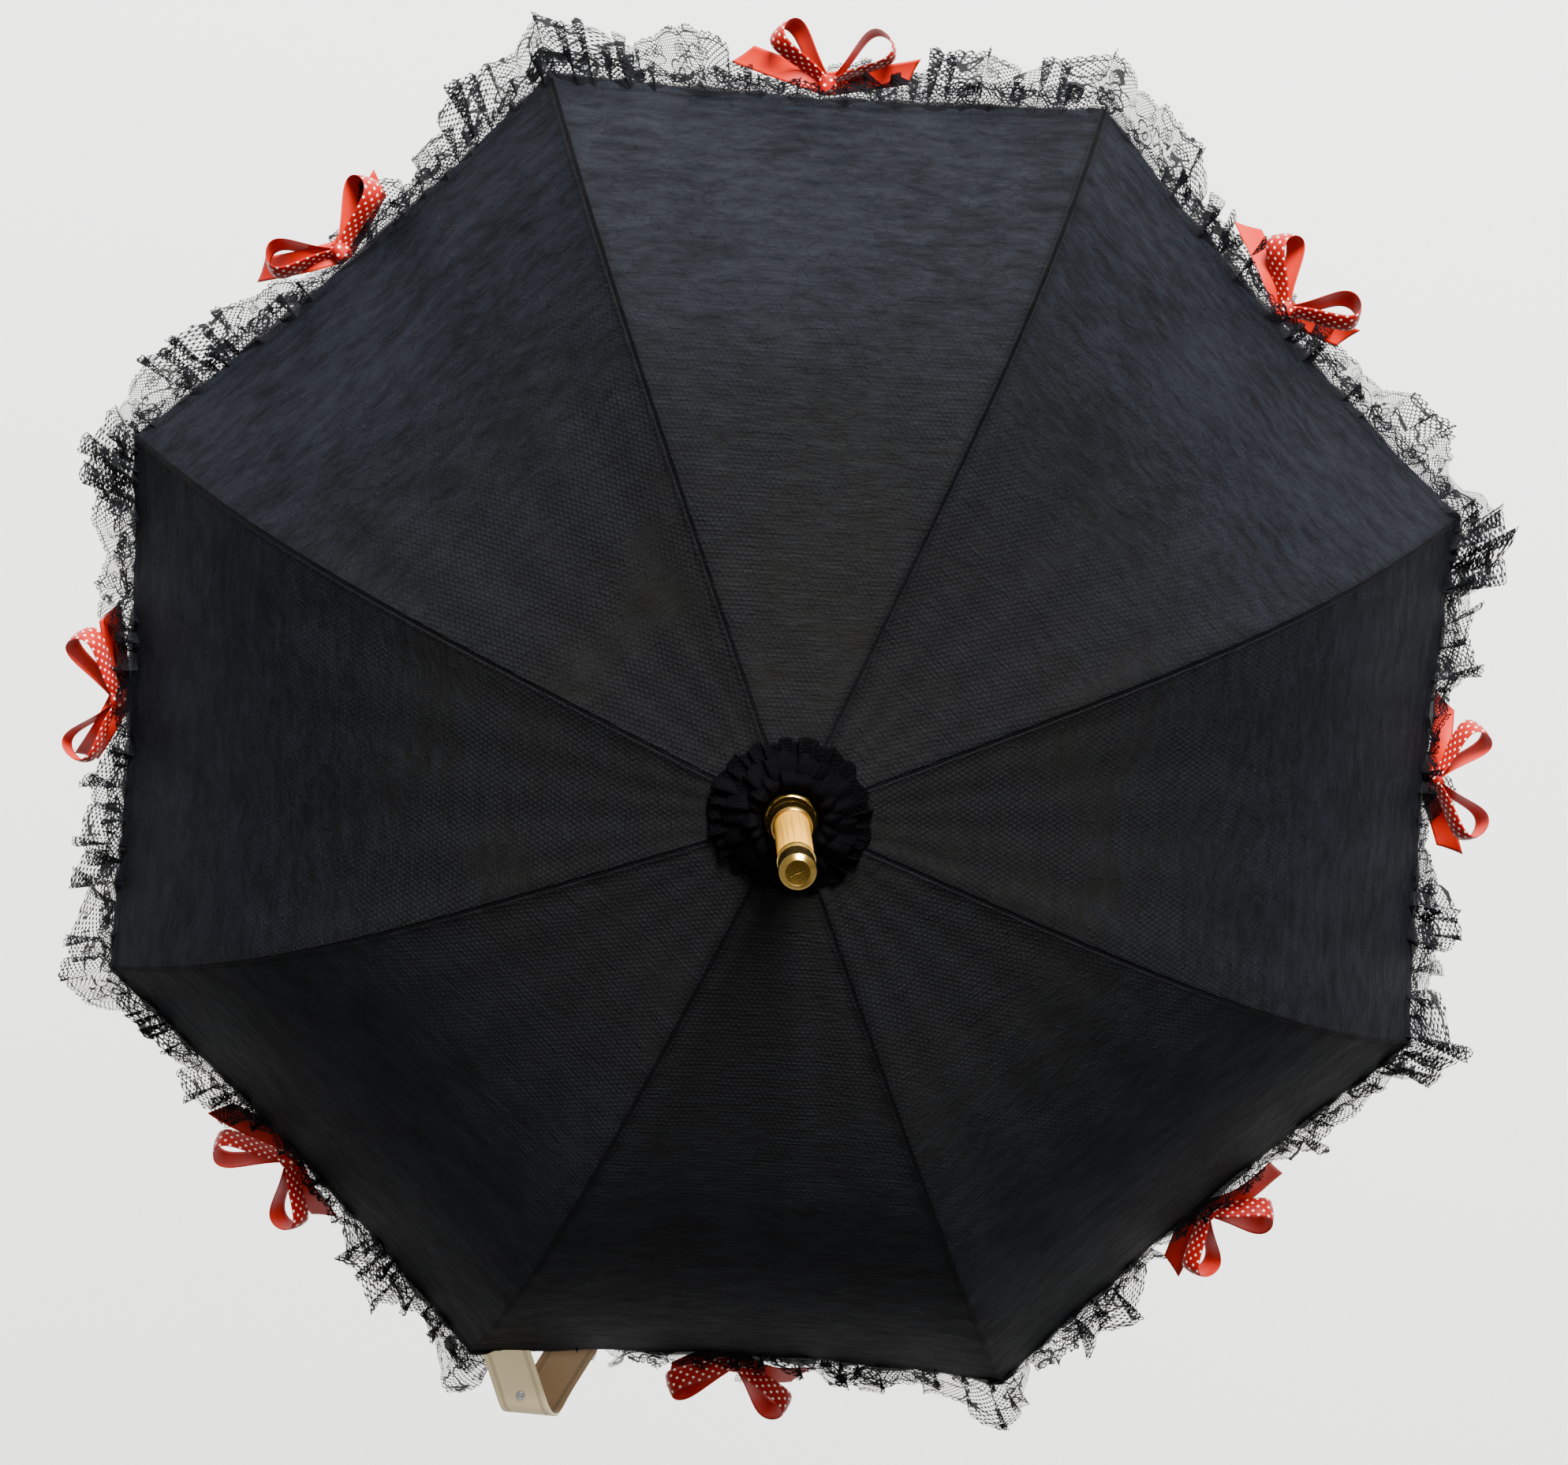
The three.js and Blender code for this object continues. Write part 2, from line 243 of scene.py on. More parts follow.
def closedSheet(name, upper, lower, maps, wrap=False):
    # A thin closed shell: upper face in slot 0, lower face in slot 1, rim in slot 0
    rows, columns = upper.shape[:2]
    count = rows * columns
    faces = gridFaces(rows, columns, 0, False, wrap)
    slots = [0] * len(faces)
    under = gridFaces(rows, columns, count, True, wrap)
    faces += under
    slots += [1] * len(under)
    rim = []
    for j in range(columns if wrap else columns - 1):
        k = (j + 1) % columns
        last = (rows - 1) * columns
        rim.append([j, k, count + k, count + j])
        rim.append([last + k, last + j, count + last + j, count + last + k])
    if not wrap:
        for i in range(rows - 1):
            a, b = i * columns, (i + 1) * columns
            rim.append([b, a, count + a, count + b])
            a, b = a + columns - 1, b + columns - 1
            rim.append([a, b, count + b, count + a])
    faces += rim
    slots += [0] * len(rim)
    points = np.concatenate([upper.reshape(-1, 3), lower.reshape(-1, 3)])
    flat = {key: np.tile(value.reshape(-1, 2), (2, 1)) for key, value in maps.items()}
    return makeMesh(name, points, faces, flat, slots)


# A turned piece's map is laid out as if it had this radius
mapRadius = 0.01


def turnedMesh(name, profile, segments=96):
    # A turned piece about the stick's axis; a profile that starts off the axis is a ring
    profile = np.asarray(profile, float)
    ring = profile[0][0] > 1e-9
    steps = runAlong(profile)
    turn = np.linspace(0, 2 * math.pi, segments, endpoint=False)
    rows = profile if ring else profile[1:-1]
    points = [(r * math.cos(a), r * math.sin(a), z) for r, z in rows for a in turn]
    along = steps if ring else steps[1:-1]
    places = [(a * mapRadius, s) for s in along for a in turn]
    faces = gridFaces(len(rows), segments, 0, True, True)
    last = (len(rows) - 1) * segments
    bottom, top = len(points), len(points) + 1
    if not ring:
        points += [(0, 0, profile[0][1]), (0, 0, profile[-1][1])]
        places += [(0, 0), (0, steps[-1])]
    for j in range(segments):
        k = (j + 1) % segments
        if ring:
            faces.append([last + j, last + k, k, j])
        else:
            faces += [[bottom, k, j], [top, last + j, last + k]]
    return makeMesh(name, points, faces, {"cloth": places})


def sweptMesh(name, line, section, side):
    # A closed bar along line; section is (across, up) points, side the direction of across
    line = np.asarray(line, float)
    section = np.asarray(section, float)
    tangent, side = lineFrame(line, side)
    up = np.cross(tangent, side)
    grid = (line[:, None] + section[None, :, 0, None] * side[:, None]
            + section[None, :, 1, None] * up[:, None])
    rows, columns = grid.shape[:2]
    run, around = runAlong(line), runAlong(section)
    places = np.stack(np.meshgrid(run, around, indexing="ij"), -1).reshape(-1, 2)[:, ::-1]
    faces = gridFaces(rows, columns, 0, False, True)
    faces.append(list(range(columns)))
    faces.append([(rows - 1) * columns + j for j in range(columns)][::-1])
    return makeMesh(name, grid.reshape(-1, 3), faces, {"cloth": places})


def roundSection(radius, sides=16):
    turn = np.linspace(0, 2 * math.pi, sides, endpoint=False)
    return np.stack([radius * np.cos(turn), radius * np.sin(turn)], 1)


def joined(name, meshes):
    # Several meshes as one, keeping their maps and material slots
    points, faces, slots, maps = [], [], [], {}
    for mesh in meshes:
        start = len(points)
        points += [tuple(v.co) for v in mesh.vertices]
        for polygon in mesh.polygons:
            faces.append([start + i for i in polygon.vertices])
            slots.append(polygon.material_index)
        for layer in mesh.uv_layers:
            maps.setdefault(layer.name, []).extend(tuple(d.uv) for d in layer.data)
    made = bpy.data.meshes.new(name)
    made.from_pydata(points, [], faces)
    for key, values in maps.items():
        layer = made.uv_layers.new(name=key)
        layer.data.foreach_set("uv", np.asarray(values, np.float32).ravel())
    made.polygons.foreach_set("material_index", np.asarray(slots, np.int32))
    made.polygons.foreach_set("use_smooth", np.ones(len(faces), bool))
    made.update()
    for mesh in meshes:
        bpy.data.meshes.remove(mesh)
    return made


def pinchRows(mesh, layers, centres, sizes):
    # Draws each row of points in towards its centre
    points = np.array([v.co for v in mesh.vertices]).reshape(layers, len(centres), -1, 3)
    centres = centres[None, :, None]
    points = centres + (points - centres) * sizes[None, :, None, None]
    mesh.vertices.foreach_set("co", points.reshape(-1).astype(np.float32))
    mesh.update()
    return mesh


def addObject(name, data):
    made = bpy.data.objects.new(name, data)
    bpy.context.scene.collection.objects.link(made)
    return made


def place(name, mesh, finishes, body, nodes):
    mesh.name = name
    piece = addObject(name, mesh)
    for finish in finishes:
        mesh.materials.append(finish.material)
    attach(piece, body)
    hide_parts(*nodes)
    return piece


def sharp(piece, degrees=40):
    piece.data.set_sharp_from_angle(angle=math.radians(degrees))
    return piece


def ribTurn(k):
    return halfPanel * (2 * k - 1)


def directions(turn):
    # along the rim and outward, at an angle about the stick
    c, s = math.cos(turn), math.sin(turn)
    return np.array([-s, c, 0]), np.array([c, s, 0])


def turnBy(points, angle):
    c, s = math.cos(angle), math.sin(angle)
    out = np.array(points, float)
    out[..., 0] = points[..., 0] * c - points[..., 1] * s
    out[..., 1] = points[..., 0] * s + points[..., 1] * c
    return out


def waves(x, seed, count, low, high):
    # A smooth wandering line that repeats every ribCount, about 1 high
    chance = np.random.default_rng(seed)
    total = np.zeros_like(x)
    for _ in range(count):
        turns = int(chance.integers(low, high))
        total += np.sin(2 * math.pi * turns * x / ribCount + chance.uniform(0, 6.3))
    return total / math.sqrt(count)


# The dome: the same lines as the CAD cloth, in metres
dome = {
    "rim": 0.42, "crown": 0.575, "cone": 0.14, "droop": 0.27, "power": 5, "sag": 0.02,
    "sagVaries": 0.22, "inner": 0.017, "thick": 0.0007,
}


def clothFall(r):
    return dome["cone"] * r + dome["droop"] * dome["rim"] * (r / dome["rim"]) ** dome["power"]


def clothAngle(r):
    return np.arctan(dome["cone"] + dome["droop"] * dome["power"]
                     * (r / dome["rim"]) ** (dome["power"] - 1))


def underCloth(r, depth):
    r = np.asarray(r, float)
    angle = clothAngle(r)
    return np.stack([r - depth * np.sin(angle), 0 * r,
                     dome["crown"] - clothFall(r) - depth * np.cos(angle)], -1)


def panelSag(panel):
    # each panel billows a little differently
    return dome["sag"] * (1.0 + dome["sagVaries"] * np.sin(panel * 2.3 + 0.7))


def clothPoint(r, across, lift, k):
    # across is -1 to 1 over rib k, between the middles of its two panels
    side = np.abs(across)
    sign = np.where(across < 0, -1.0, 1.0)
    half = r * math.sin(halfPanel)
    run = half * side
    panel = np.where(across < 0, (k - 1) % ribCount, k % ribCount)
    sag = panelSag(panel) * 2 * half * (1 - (1 - side) ** 2)
    angle = clothAngle(r)
    turn = halfPanel * across
    lift = lift - sag
    x = r - run * math.sin(halfPanel) + lift * np.sin(angle) * np.cos(turn)
    y = run * math.cos(halfPanel) * sign + lift * np.sin(angle) * np.sin(turn)
    z = dome["crown"] - clothFall(r) + lift * np.cos(angle)
    return turnBy(np.stack([x, y, z], -1), ribTurn(k))


# Finishes; a tone is one colour, or a dark and a light one
tones = {
    "cloth": ((0.0005, 0.0007, 0.0013), (0.0050, 0.0061, 0.0090)),
    "clothWarm": (0.0056, 0.0051, 0.0040),
    "clothNet": (0.002, 0.002, 0.003),
    "clothSeam": (0.001, 0.001, 0.0015),
    "lining": ((0.006, 0.008, 0.016), (0.018, 0.022, 0.038)),
    "lace": (0.0016, 0.0016, 0.0024),
    "rosette": ((0.0002, 0.0002, 0.0003), (0.0016, 0.0015, 0.0020)),
    "rosetteNet": (0.0001, 0.0001, 0.0002),
    "ribbon": ((0.20, 0.0015, 0.001), (0.32, 0.003, 0.002)),
    "ribbonBack": ((0.28, 0.005, 0.001), (0.40, 0.011, 0.003)),
    "ribbonDot": (0.80, 0.66, 0.52),
    "felt": ((0.82, 0.66, 0.37), (0.93, 0.78, 0.47)),
    # the felt again, made darker: painted shade for the strap's inner face, which lies under its
    # top arm
    "shadedFelt": ((0.28, 0.18, 0.09), (0.40, 0.27, 0.14)),
    "brass": ((0.26, 0.15, 0.025), (0.56, 0.36, 0.09)),
    "agedBrass": ((0.05, 0.028, 0.004), (0.14, 0.085, 0.016)),
    "wood": ((0.32, 0.138, 0.010), (0.54, 0.275, 0.024)),
    "woodPore": (0.30, 0.14, 0.04),
    "steel": (0.55, 0.55, 0.56),
    "enamel": (0.014, 0.014, 0.016),
    "floor": (0.90, 0.89, 0.87),
    "sky": (1.0, 0.99, 0.97, 1.0),
}

clothWork = {
    "net": 0.0032, "netLine": 0.0008, "stitch": 0.0034, "seamStitch": 0.0032, "hemStitch": 0.0055,
    "hemFold": 0.0072, "relief": 0.0011,
}


def clothFinish():
    finish = Finish("laceOverNavy")
    u, v = finish.flat("cloth")
    panel, rise = finish.flat("panel")
    near, hem = finish.flat("seam")
    # crinkled weave, drawn out along the hem and different on each panel
    warp = finish.grain(u * 14.0, v * 14.0, panel * 2.7, 2.0) - 0.5
    fibre = finish.grain(u * 130.0, (v + warp * 0.016) * 560.0, panel * 7.3, 5.0, 0.7)
    streak = finish.grain(u * 46.0, (v + warp * 0.020) * 150.0, panel * 3.1, 4.0, 0.7)
    cloud = finish.noise(finish.vector(u, v, panel * 1.7), 11.0, 3.0, 0.55)
    wander = finish.grain(u * 90.0, v * 120.0, panel * 5.1, 2.0)
    cord = abs(wander - 0.5).step(0.02, 0.006)
    net = hexNet(u + warp * 0.004, v, clothWork["net"], clothWork["netLine"])
    net = net * cloud.step(0.35, 0.6)
    nearCrown = rise.step(0.88, 0.3)
    shade = fibre * 0.55 + streak * 0.75 + cloud * 0.45
    tone = finish.mix(*tones["cloth"], shade.step(0.62, 1.15))
    warm = finish.mix(tone, tones["clothWarm"], nearCrown * 0.6)
    laced = finish.mix(warm, tones["clothNet"], net * nearCrown * 0.45 + cord * 0.18)

    def stitches(line, run):
        return abs(line).step(0.0006, 0.0003) * beat(run, clothWork["stitch"]).step(-0.3, 0.2)

    # the felled seam over the rib, and the turned hem
    fell = abs(near).step(0.0019, 0.0006)
    fold = abs(near).step(0.0075, 0.0010) * 0.45
    turned = abs(hem - clothWork["hemFold"]).step(0.0011, 0.0004)
    stitch = stitches(near - clothWork["seamStitch"], v)
    stitch = stitch.most(stitches(hem - clothWork["hemStitch"], u))
    seam = fell.most(fold).most(turned * 0.4)
    finish.colour(laced, tones["clothSeam"], seam)
    finish.set("Roughness", 0.82 - streak * 0.3)
    finish.set("Specular IOR Level", 0.05)
    height = fibre + streak * 0.8 + net * nearCrown * 0.4 + cord * 0.2
    height = height + stitch * 0.6 - fell - turned * 0.5
    finish.relief(height, clothWork["relief"], 0.9)
    return finish


def liningFinish():
    finish = Finish("navyLining", Roughness=0.9)
    u, v = finish.flat("cloth")
    weave = ((u * 5200.0).sine() * (v * 5200.0).sine()) * 0.5 + 0.5
    cloud = finish.noise(finish.map("cloth"), 30.0, 3.0)
    finish.colour(*tones["lining"], cloud)
    finish.relief(weave, 0.0003, 0.5)
    return finish


# A flower is its centre's height, size and number of petals
laceWork = {
    "net": 0.0020, "netLine": 0.00038, "fine": 0.0008, "fineLine": 0.00024, "repeat": 0.041,
    "flower": (0.019, 0.0105, 5), "small": (0.033, 0.0050, 6), "smallShift": 0.0102,
    "stemAt": 0.022, "stemSwing": 0.0075, "cord": 0.0013, "secondCord": 0.0042,
    "picot": 0.0035, "picotDeep": 0.0010, "header": 0.0105,
}


def laceFinish():
    finish = Finish("blackLace", tones["lace"], Roughness=0.7)
    u, v = finish.flat("cloth")
    _, edge = finish.flat("edge")
    net = hexNet(u, v, laceWork["net"], laceWork["netLine"])
    fine = hexNet(u + v * 0.3, v, laceWork["fine"], laceWork["fineLine"])

    def flower(pitch, centre, size, petals, shift=0.0):
        du = (u + shift) % pitch - pitch / 2
        dv = v - centre
        far = (du * du + dv * dv) ** 0.5 / size
        turn = du.maths("ARCTAN2", dv, du)
        petal = abs((turn * (petals / 2)).sine()) * 0.36 + 0.62
        inside = (petal - far).step(0.0, 0.04) * far.step(0.85, 0.5) * 0.8
        outline = abs(petal - far).step(0.11, 0.05)
        eye = abs(far - 0.26).step(0.10, 0.05)
        return (inside * fine * 0.7).most(outline).most(eye)

    repeat = laceWork["repeat"]
    big = flower(repeat, *laceWork["flower"])
    small = flower(repeat / 2, *laceWork["small"], laceWork["smallShift"])
    swing = beat(u, repeat) * laceWork["stemSwing"]
    stem = abs(v - laceWork["stemAt"] - swing).step(0.0008, 0.0004)
    drift = finish.grain(u * 62.0, v * 70.0, 0.0, 1.0, 0.4)
    vine = abs(drift - 0.5).step(0.019, 0.009)
    cord = edge.step(laceWork["cord"], 0.0008)
    second = abs(edge - laceWork["secondCord"]).step(0.0006, 0.0003)
    picot = abs((u * (math.pi / laceWork["picot"])).sine())
    bite = (edge - picot * laceWork["picotDeep"]).step(-0.0002, 0.0002)
    thread = net
    for part in (big, small, stem, vine, second, cord, v.step(laceWork["header"], 0.0070)):
        thread = thread.most(part)
    finish.set("Alpha", (thread * bite).least(0.98))
    finish.relief(big + stem + cord + net * 0.5, 0.0005, 0.7)
    finish.set("Specular IOR Level", 0.05)
    return finish


def rosetteFinish():
    finish = Finish("gatheredLace", Roughness=0.75)
    u, v = finish.flat("cloth")
    net = hexNet(u, v, 0.0020, 0.0006)
    cloud = finish.noise(finish.map("cloth"), 55.0, 4.0, 0.6)
    pleat = finish.grain(u * 380.0, v * 30.0, 0.0, 3.0, 0.6)
    tone = finish.mix(*tones["rosette"], cloud * 0.5 + pleat * 0.5)
    finish.colour(tone, tones["rosetteNet"], net * 0.5)
    finish.relief(pleat * 1.4 + net * 0.4 + cloud, 0.0012, 0.8)
    finish.set("Specular IOR Level", 0.02)
    return finish


ribbonWork = {"ribs": 9000.0, "dotPitch": 0.0062, "dotRadius": 0.00078, "selvedge": 0.0064}


def ribbonFinish(name, tone, dotted):
    finish = Finish(name, Roughness=0.48)
    u, v = finish.flat("cloth")
    rib = (v * ribbonWork["ribs"]).sine() * 0.5 + 0.5
    cloud = finish.grain(u * 30.0, v * 250.0, 0.0, 3.0)
    red = finish.mix(*tone, cloud)
    if dotted:
        pitch, size = ribbonWork["dotPitch"], ribbonWork["dotRadius"]

        def dots(shift):
            du = (u + shift) % pitch - pitch / 2
            dv = (v + shift) % pitch - pitch / 2
            return (du * du + dv * dv) ** 0.5

        spot = dots(0.0).least(dots(pitch / 2)).step(size * 1.25, size * 0.8)
        red = finish.mix(red, tones["ribbonDot"], spot)
    finish.set("Base Color", red)
    selvedge = (abs(v) - ribbonWork["selvedge"]).step(0.0, 0.0003)
    finish.relief(rib * 0.25 + selvedge, 0.0002, 0.4)
    finish.set("Specular IOR Level", 0.14)
    finish.set("Anisotropic", 0.4)
    return finish


feltWork = {"row": 0.0105, "stitch": 0.0032, "grooveShade": 0.62}


def feltFinish(name, dark, light):
    finish = Finish(name, Roughness=0.95)
    u, v = finish.flat("cloth")
    fuzz = finish.noise(finish.map("cloth"), 900.0, 4.0, 0.7)
    cloud = finish.noise(finish.map("cloth"), 60.0, 3.0)
    tone = finish.mix(dark, light, cloud * 0.6 + fuzz * 0.4)
    offRow = abs(abs(v) - feltWork["row"])
    stitch = offRow.step(0.0006, 0.0003) * beat(u, feltWork["stitch"]).step(-0.35, 0.0)
    groove = offRow.step(0.0014, 0.0004)
    shaded = tuple(c * feltWork["grooveShade"] for c in dark)
    finish.colour(tone, shaded, groove * 0.45)
    finish.relief(fuzz * 0.3 + stitch * 0.9 - groove, 0.0008, 0.8)
    finish.set("Sheen Weight", 0.4)
    return finish


def brassFinish():
    finish = Finish("polishedBrass", Metallic=1.0)
    u, v = finish.flat("cloth")
    grain = finish.noise(finish.map("cloth"), 420.0, 4.0, 0.7)
    lines = finish.grain(u * 3.0, v * 2600.0, 0.0, 2.0)
    patina = finish.noise(finish.map("cloth"), 90.0, 3.0)
    finish.colour(*tones["brass"], patina.step(0.3, 0.6))
    finish.set("Roughness", grain * 0.12 + lines * 0.10 + 0.10)
    finish.relief(grain * 0.2 + lines * 0.3, 0.0002, 0.25)
    return finish


def agedBrassFinish():
    # the cap's flat end, dulled by use, with a scratch across it
    finish = Finish("dulledBrass", Metallic=1.0)
    local = finish.node("ShaderNodeTexCoord", {}, {}, 3)
    x, y, _ = finish.split(local)
    grain = finish.noise(local, 900.0, 4.0, 0.7)
    across = x * 0.86 + y * 0.5
    along = y * 0.86 - x * 0.5
    scratch = abs(along + (across * 900.0).sine() * 0.0002).step(0.0005, 0.0001)
    scratch = scratch * abs(across).step(0.0050, 0.0035)
    finish.colour(*tones["agedBrass"], grain)
    finish.set("Roughness", grain * 0.25 + 0.28)
    finish.relief(grain * 0.2 - scratch, 0.0004, 0.7)
    return finish


def woodFinish():
    finish = Finish("paleWood")
    u, v = finish.flat("cloth")
    grain = finish.grain(u * 900.0, v * 14.0, 0.0, 4.0, 0.6)
    pores = finish.grain(u * 3200.0, v * 70.0, 0.0, 2.0).step(0.64, 0.74)
    tone = finish.mix(*tones["wood"], grain.step(0.3, 0.7))
    finish.colour(tone, tones["woodPore"], pores * 0.5)
    finish.set("Roughness", grain * 0.15 + 0.30)
    finish.set("Coat Weight", 0.35)
    finish.set("Coat Roughness", 0.18)
    finish.relief(grain * 0.5 - pores, 0.00015, 0.4)
    return finish


def metalFinish(name, base, rough, metallic):
    finish = Finish(name, base, Metallic=metallic)
    local = finish.node("ShaderNodeTexCoord", {}, {}, 3)
    grain = finish.noise(local, 700.0, 4.0, 0.6)
    finish.set("Roughness", grain * 0.2 + rough)
    finish.relief(grain, 0.00015, 0.3)
    return finish


cloth = clothFinish()
lining = liningFinish()
lace = laceFinish()
rosetteCloth = rosetteFinish()
ribbonFront = ribbonFinish("dottedRibbon", tones["ribbon"], True)
ribbonBack = ribbonFinish("plainRibbon", tones["ribbonBack"], False)
felt = feltFinish("creamFelt", *tones["felt"])
# the same felt made darker for the strap's inner face: painted shade, not a felt of another colour
shadedFelt = feltFinish("feltPaintedShade", *tones["shadedFelt"])
brass = brassFinish()
agedBrass = agedBrassFinish()
wood = woodFinish()
steel = metalFinish("springSteel", tones["steel"], 0.22, 1.0)
enamel = metalFinish("blackEnamel", tones["enamel"], 0.30, 0.0)
print("finishes ready")


# Canopy: one gore of cloth over each rib
canopy = {
    "rows": 84, "columns": 65, "rowPower": 1.25, "columnPower": 1.35, "fineSteps": 2000,
    "seam": 0.0024, "seamRise": 0.0003, "pucker": 0.00035, "puckerWide": 0.008,
    "hem": 0.007, "hemRise": 0.0004, "hemStep": 0.001, "panelShift": 1.37, "keep": 0.34,
}
wrinkles = {"fan": 0.00035, "hem": 0.0006, "hemFrom": 0.72, "soft": 0.0007}


def wrinkle(panel, x, s, share):
    # faint tension folds that fan out from the crown and along the hem
    middle = np.sin(share * math.pi)
    fan = np.sin(x / np.maximum(s, 0.02) * 34 + panel * 1.9) * wrinkles["fan"] * middle
    nearHem = np.clip((share - wrinkles["hemFrom"]) / (1 - wrinkles["hemFrom"]), 0, 1) ** 2
    hem = np.sin(x * 95 + panel * 2.1) * wrinkles["hem"] * nearHem
    soft = np.sin(x * 31 + s * 17 + panel) * wrinkles["soft"] * middle
    return fan + hem + soft


def squashWithRib(piece):
    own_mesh(piece)


def buildGore(k):
    share = np.linspace(0, 1, canopy["rows"])
    reach = 1 - (1 - share) ** canopy["rowPower"]
    rowR = dome["inner"] + (dome["rim"] - dome["inner"]) * reach
    fine = np.linspace(0, dome["rim"], canopy["fineSteps"])
    length = np.concatenate([[0], np.cumsum(np.hypot(np.diff(fine), np.diff(clothFall(fine))))])
    rowS = np.interp(rowR, fine, length)
    hemS = rowS[-1]
    t = np.linspace(-1, 1, canopy["columns"])
    t = np.sign(t) * np.abs(t) ** canopy["columnPower"]
    r, across = np.meshgrid(rowR, t, indexing="ij")
    s = np.repeat(rowS[:, None], len(t), 1)
    half = r * math.sin(halfPanel)
    panel = np.where(across < 0, (k - 1) % ribCount, k % ribCount)
    side = np.abs(across)
    x = -np.sign(across) * half * (1 - side)
    fade = np.clip(side * 6, 0, 1)
    near = half * side
    ridge = canopy["seamRise"] * np.exp(-((near / canopy["seam"]) ** 4))
    nearSeam = np.exp(-(near / canopy["puckerWide"]) ** 2)
    pucker = canopy["pucker"] * np.sin(s * 900 + 1.3 * k) * nearSeam
    pastFold = np.clip((s - hemS + canopy["hem"]) / canopy["hemStep"], 0, 1)
    hemBand = canopy["hemRise"] * pastFold
    lift = ridge + pucker + hemBand + wrinkle(panel, x, s, s / hemS) * fade
    upper = clothPoint(r, across, lift, k)
    lower = clothPoint(r, across, lift - dome["thick"] - hemBand, k)
    maps = {
        "cloth": np.stack([x + panel * canopy["panelShift"], s], -1),
        "panel": np.stack([panel + 0.0 * s, s / hemS], -1),
        "seam": np.stack([near * np.sign(across), hemS - s], -1),
    }
    mesh = closedSheet("canopyGore", upper, lower, maps)
    piece = place(f"canopy_cloth_{k}", mesh, [cloth, lining], f"rib_{k}_body",
                  [f"canopy_gore_{k}"])
    squashWithRib(sharp(piece, 60))


# Ribs, with their tips, and stretchers
linkage = {
    "hinge": 0.012, "hingeZ": 0.5685, "ribDepth": 0.0035, "ribRadius": 0.0016, "shank": 0.024,
    "pivotStation": 0.236, "pivotHang": 0.0046, "blade": 0.002, "eye": 0.003, "lug": 0.0024,
    "shankTall": 0.0015, "rodRadius": 0.0015, "rodInset": 0.009, "fork": 0.014, "forkTall": 0.0016,
    "bridgeWide": 0.00245, "cheekAt": 0.0019, "cheekWide": 0.0011, "headAt": 0.0027,
    "headRadius": 0.0013, "headThick": 0.0005, "rivetRadius": 0.00075, "rivetLong": 0.0056,
}
tipProfile = [
    (0, -0.006), (0.0015, -0.006), (0.0017, -0.0056), (0.0017, -0.001), (0.0021, -0.0004),
    (0.0024, 0.0006), (0.0021, 0.0018), (0.0013, 0.0025), (0, 0.0027),
]
pivot = underCloth(linkage["pivotStation"], linkage["ribDepth"] + linkage["pivotHang"])
linkDrop = linkage["hingeZ"] - pivot[2]
runnerZ = linkage["hingeZ"] - 2 * linkDrop
linkAngle = math.atan2(linkDrop, pivot[0] - linkage["hinge"])
linkLength = math.hypot(linkDrop, pivot[0] - linkage["hinge"])
blade = linkage["blade"]


def crossPin(name, radius, length, x, z, y=0.0):
    # a pin across the rib; the close rows keep its ends square
    ends = (-length / 2, -length / 2 + 1e-5, length / 2 - 1e-5, length / 2)
    return sweptMesh(name, [(x, y + end, z) for end in ends], roundSection(radius, 28), (1, 0, 0))


def turnMesh(mesh, k):
    mesh.transform(Matrix.Rotation(ribTurn(k), 4, "Z"))
    return mesh


def boxSection(wide, tall):
    return [(-wide, -tall), (wide, -tall), (wide, tall), (-wide, tall)]


def channelSection(radius, wall):
    # A U channel, open below, with rounded corners
    outer = [(-1.0, -0.85), (-1.0, 0.35), (-0.86, 0.78), (-0.45, 1.0),
             (0.45, 1.0), (0.86, 0.78), (1.0, 0.35), (1.0, -0.85)]
    inner = [(1.0 - wall, -0.85), (1.0 - wall, 0.25), (0.5, 0.6),
             (-0.5, 0.6), (-1.0 + wall, 0.25), (-1.0 + wall, -0.85)]
    return np.array(outer + inner) * radius


def buildRib(k):
    stations = np.linspace(linkage["shank"] - 0.003, dome["rim"] + 0.002, 90)
    line = underCloth(stations, linkage["ribDepth"])
    bar = sweptMesh("bar", line, channelSection(linkage["ribRadius"], 0.3), (0, 1, 0))
    end = underCloth(linkage["shank"], linkage["ribDepth"])
    steps = np.linspace(0, 1, 8)[:, None]
    line = np.array([linkage["hinge"], 0, linkage["hingeZ"]]) * (1 - steps) + end * steps
    shank = sweptMesh("shank", line, boxSection(blade / 2, linkage["shankTall"]), (0, 1, 0))
    eye = crossPin("eye", linkage["eye"], blade, linkage["hinge"], linkage["hingeZ"])
    lug = crossPin("lug", linkage["lug"], blade, pivot[0], pivot[2])
    lugTop = underCloth(linkage["pivotStation"], linkage["ribDepth"] + 0.001)
    drop = np.linspace(0, 1, 5)[:, None]
    line = pivot * (1 - drop) + lugTop * drop
    arm = sweptMesh("arm", line, boxSection(blade / 2, linkage["lug"]), (0, 1, 0))
    mesh = turnMesh(joined("rib", [bar, shank, eye, lug, arm]), k)
    sharp(place(f"rib_bar_{k}", mesh, [enamel], f"rib_{k}_body", [f"rib_{k}"]))
    tipAt = underCloth(dome["rim"] + 0.003, linkage["ribDepth"] + 0.001)
    slope = float(clothAngle(dome["rim"]))
    tip = turnedMesh("tip", tipProfile, 40)
    tip.transform(Matrix.Rotation(math.pi / 2 + slope, 4, "Y"))
    tip.transform(Matrix.Translation(Vector(tipAt)))
    place(f"rib_tip_{k}", turnMesh(tip, k), [steel], f"rib_{k}_body", [f"rib_{k}"])


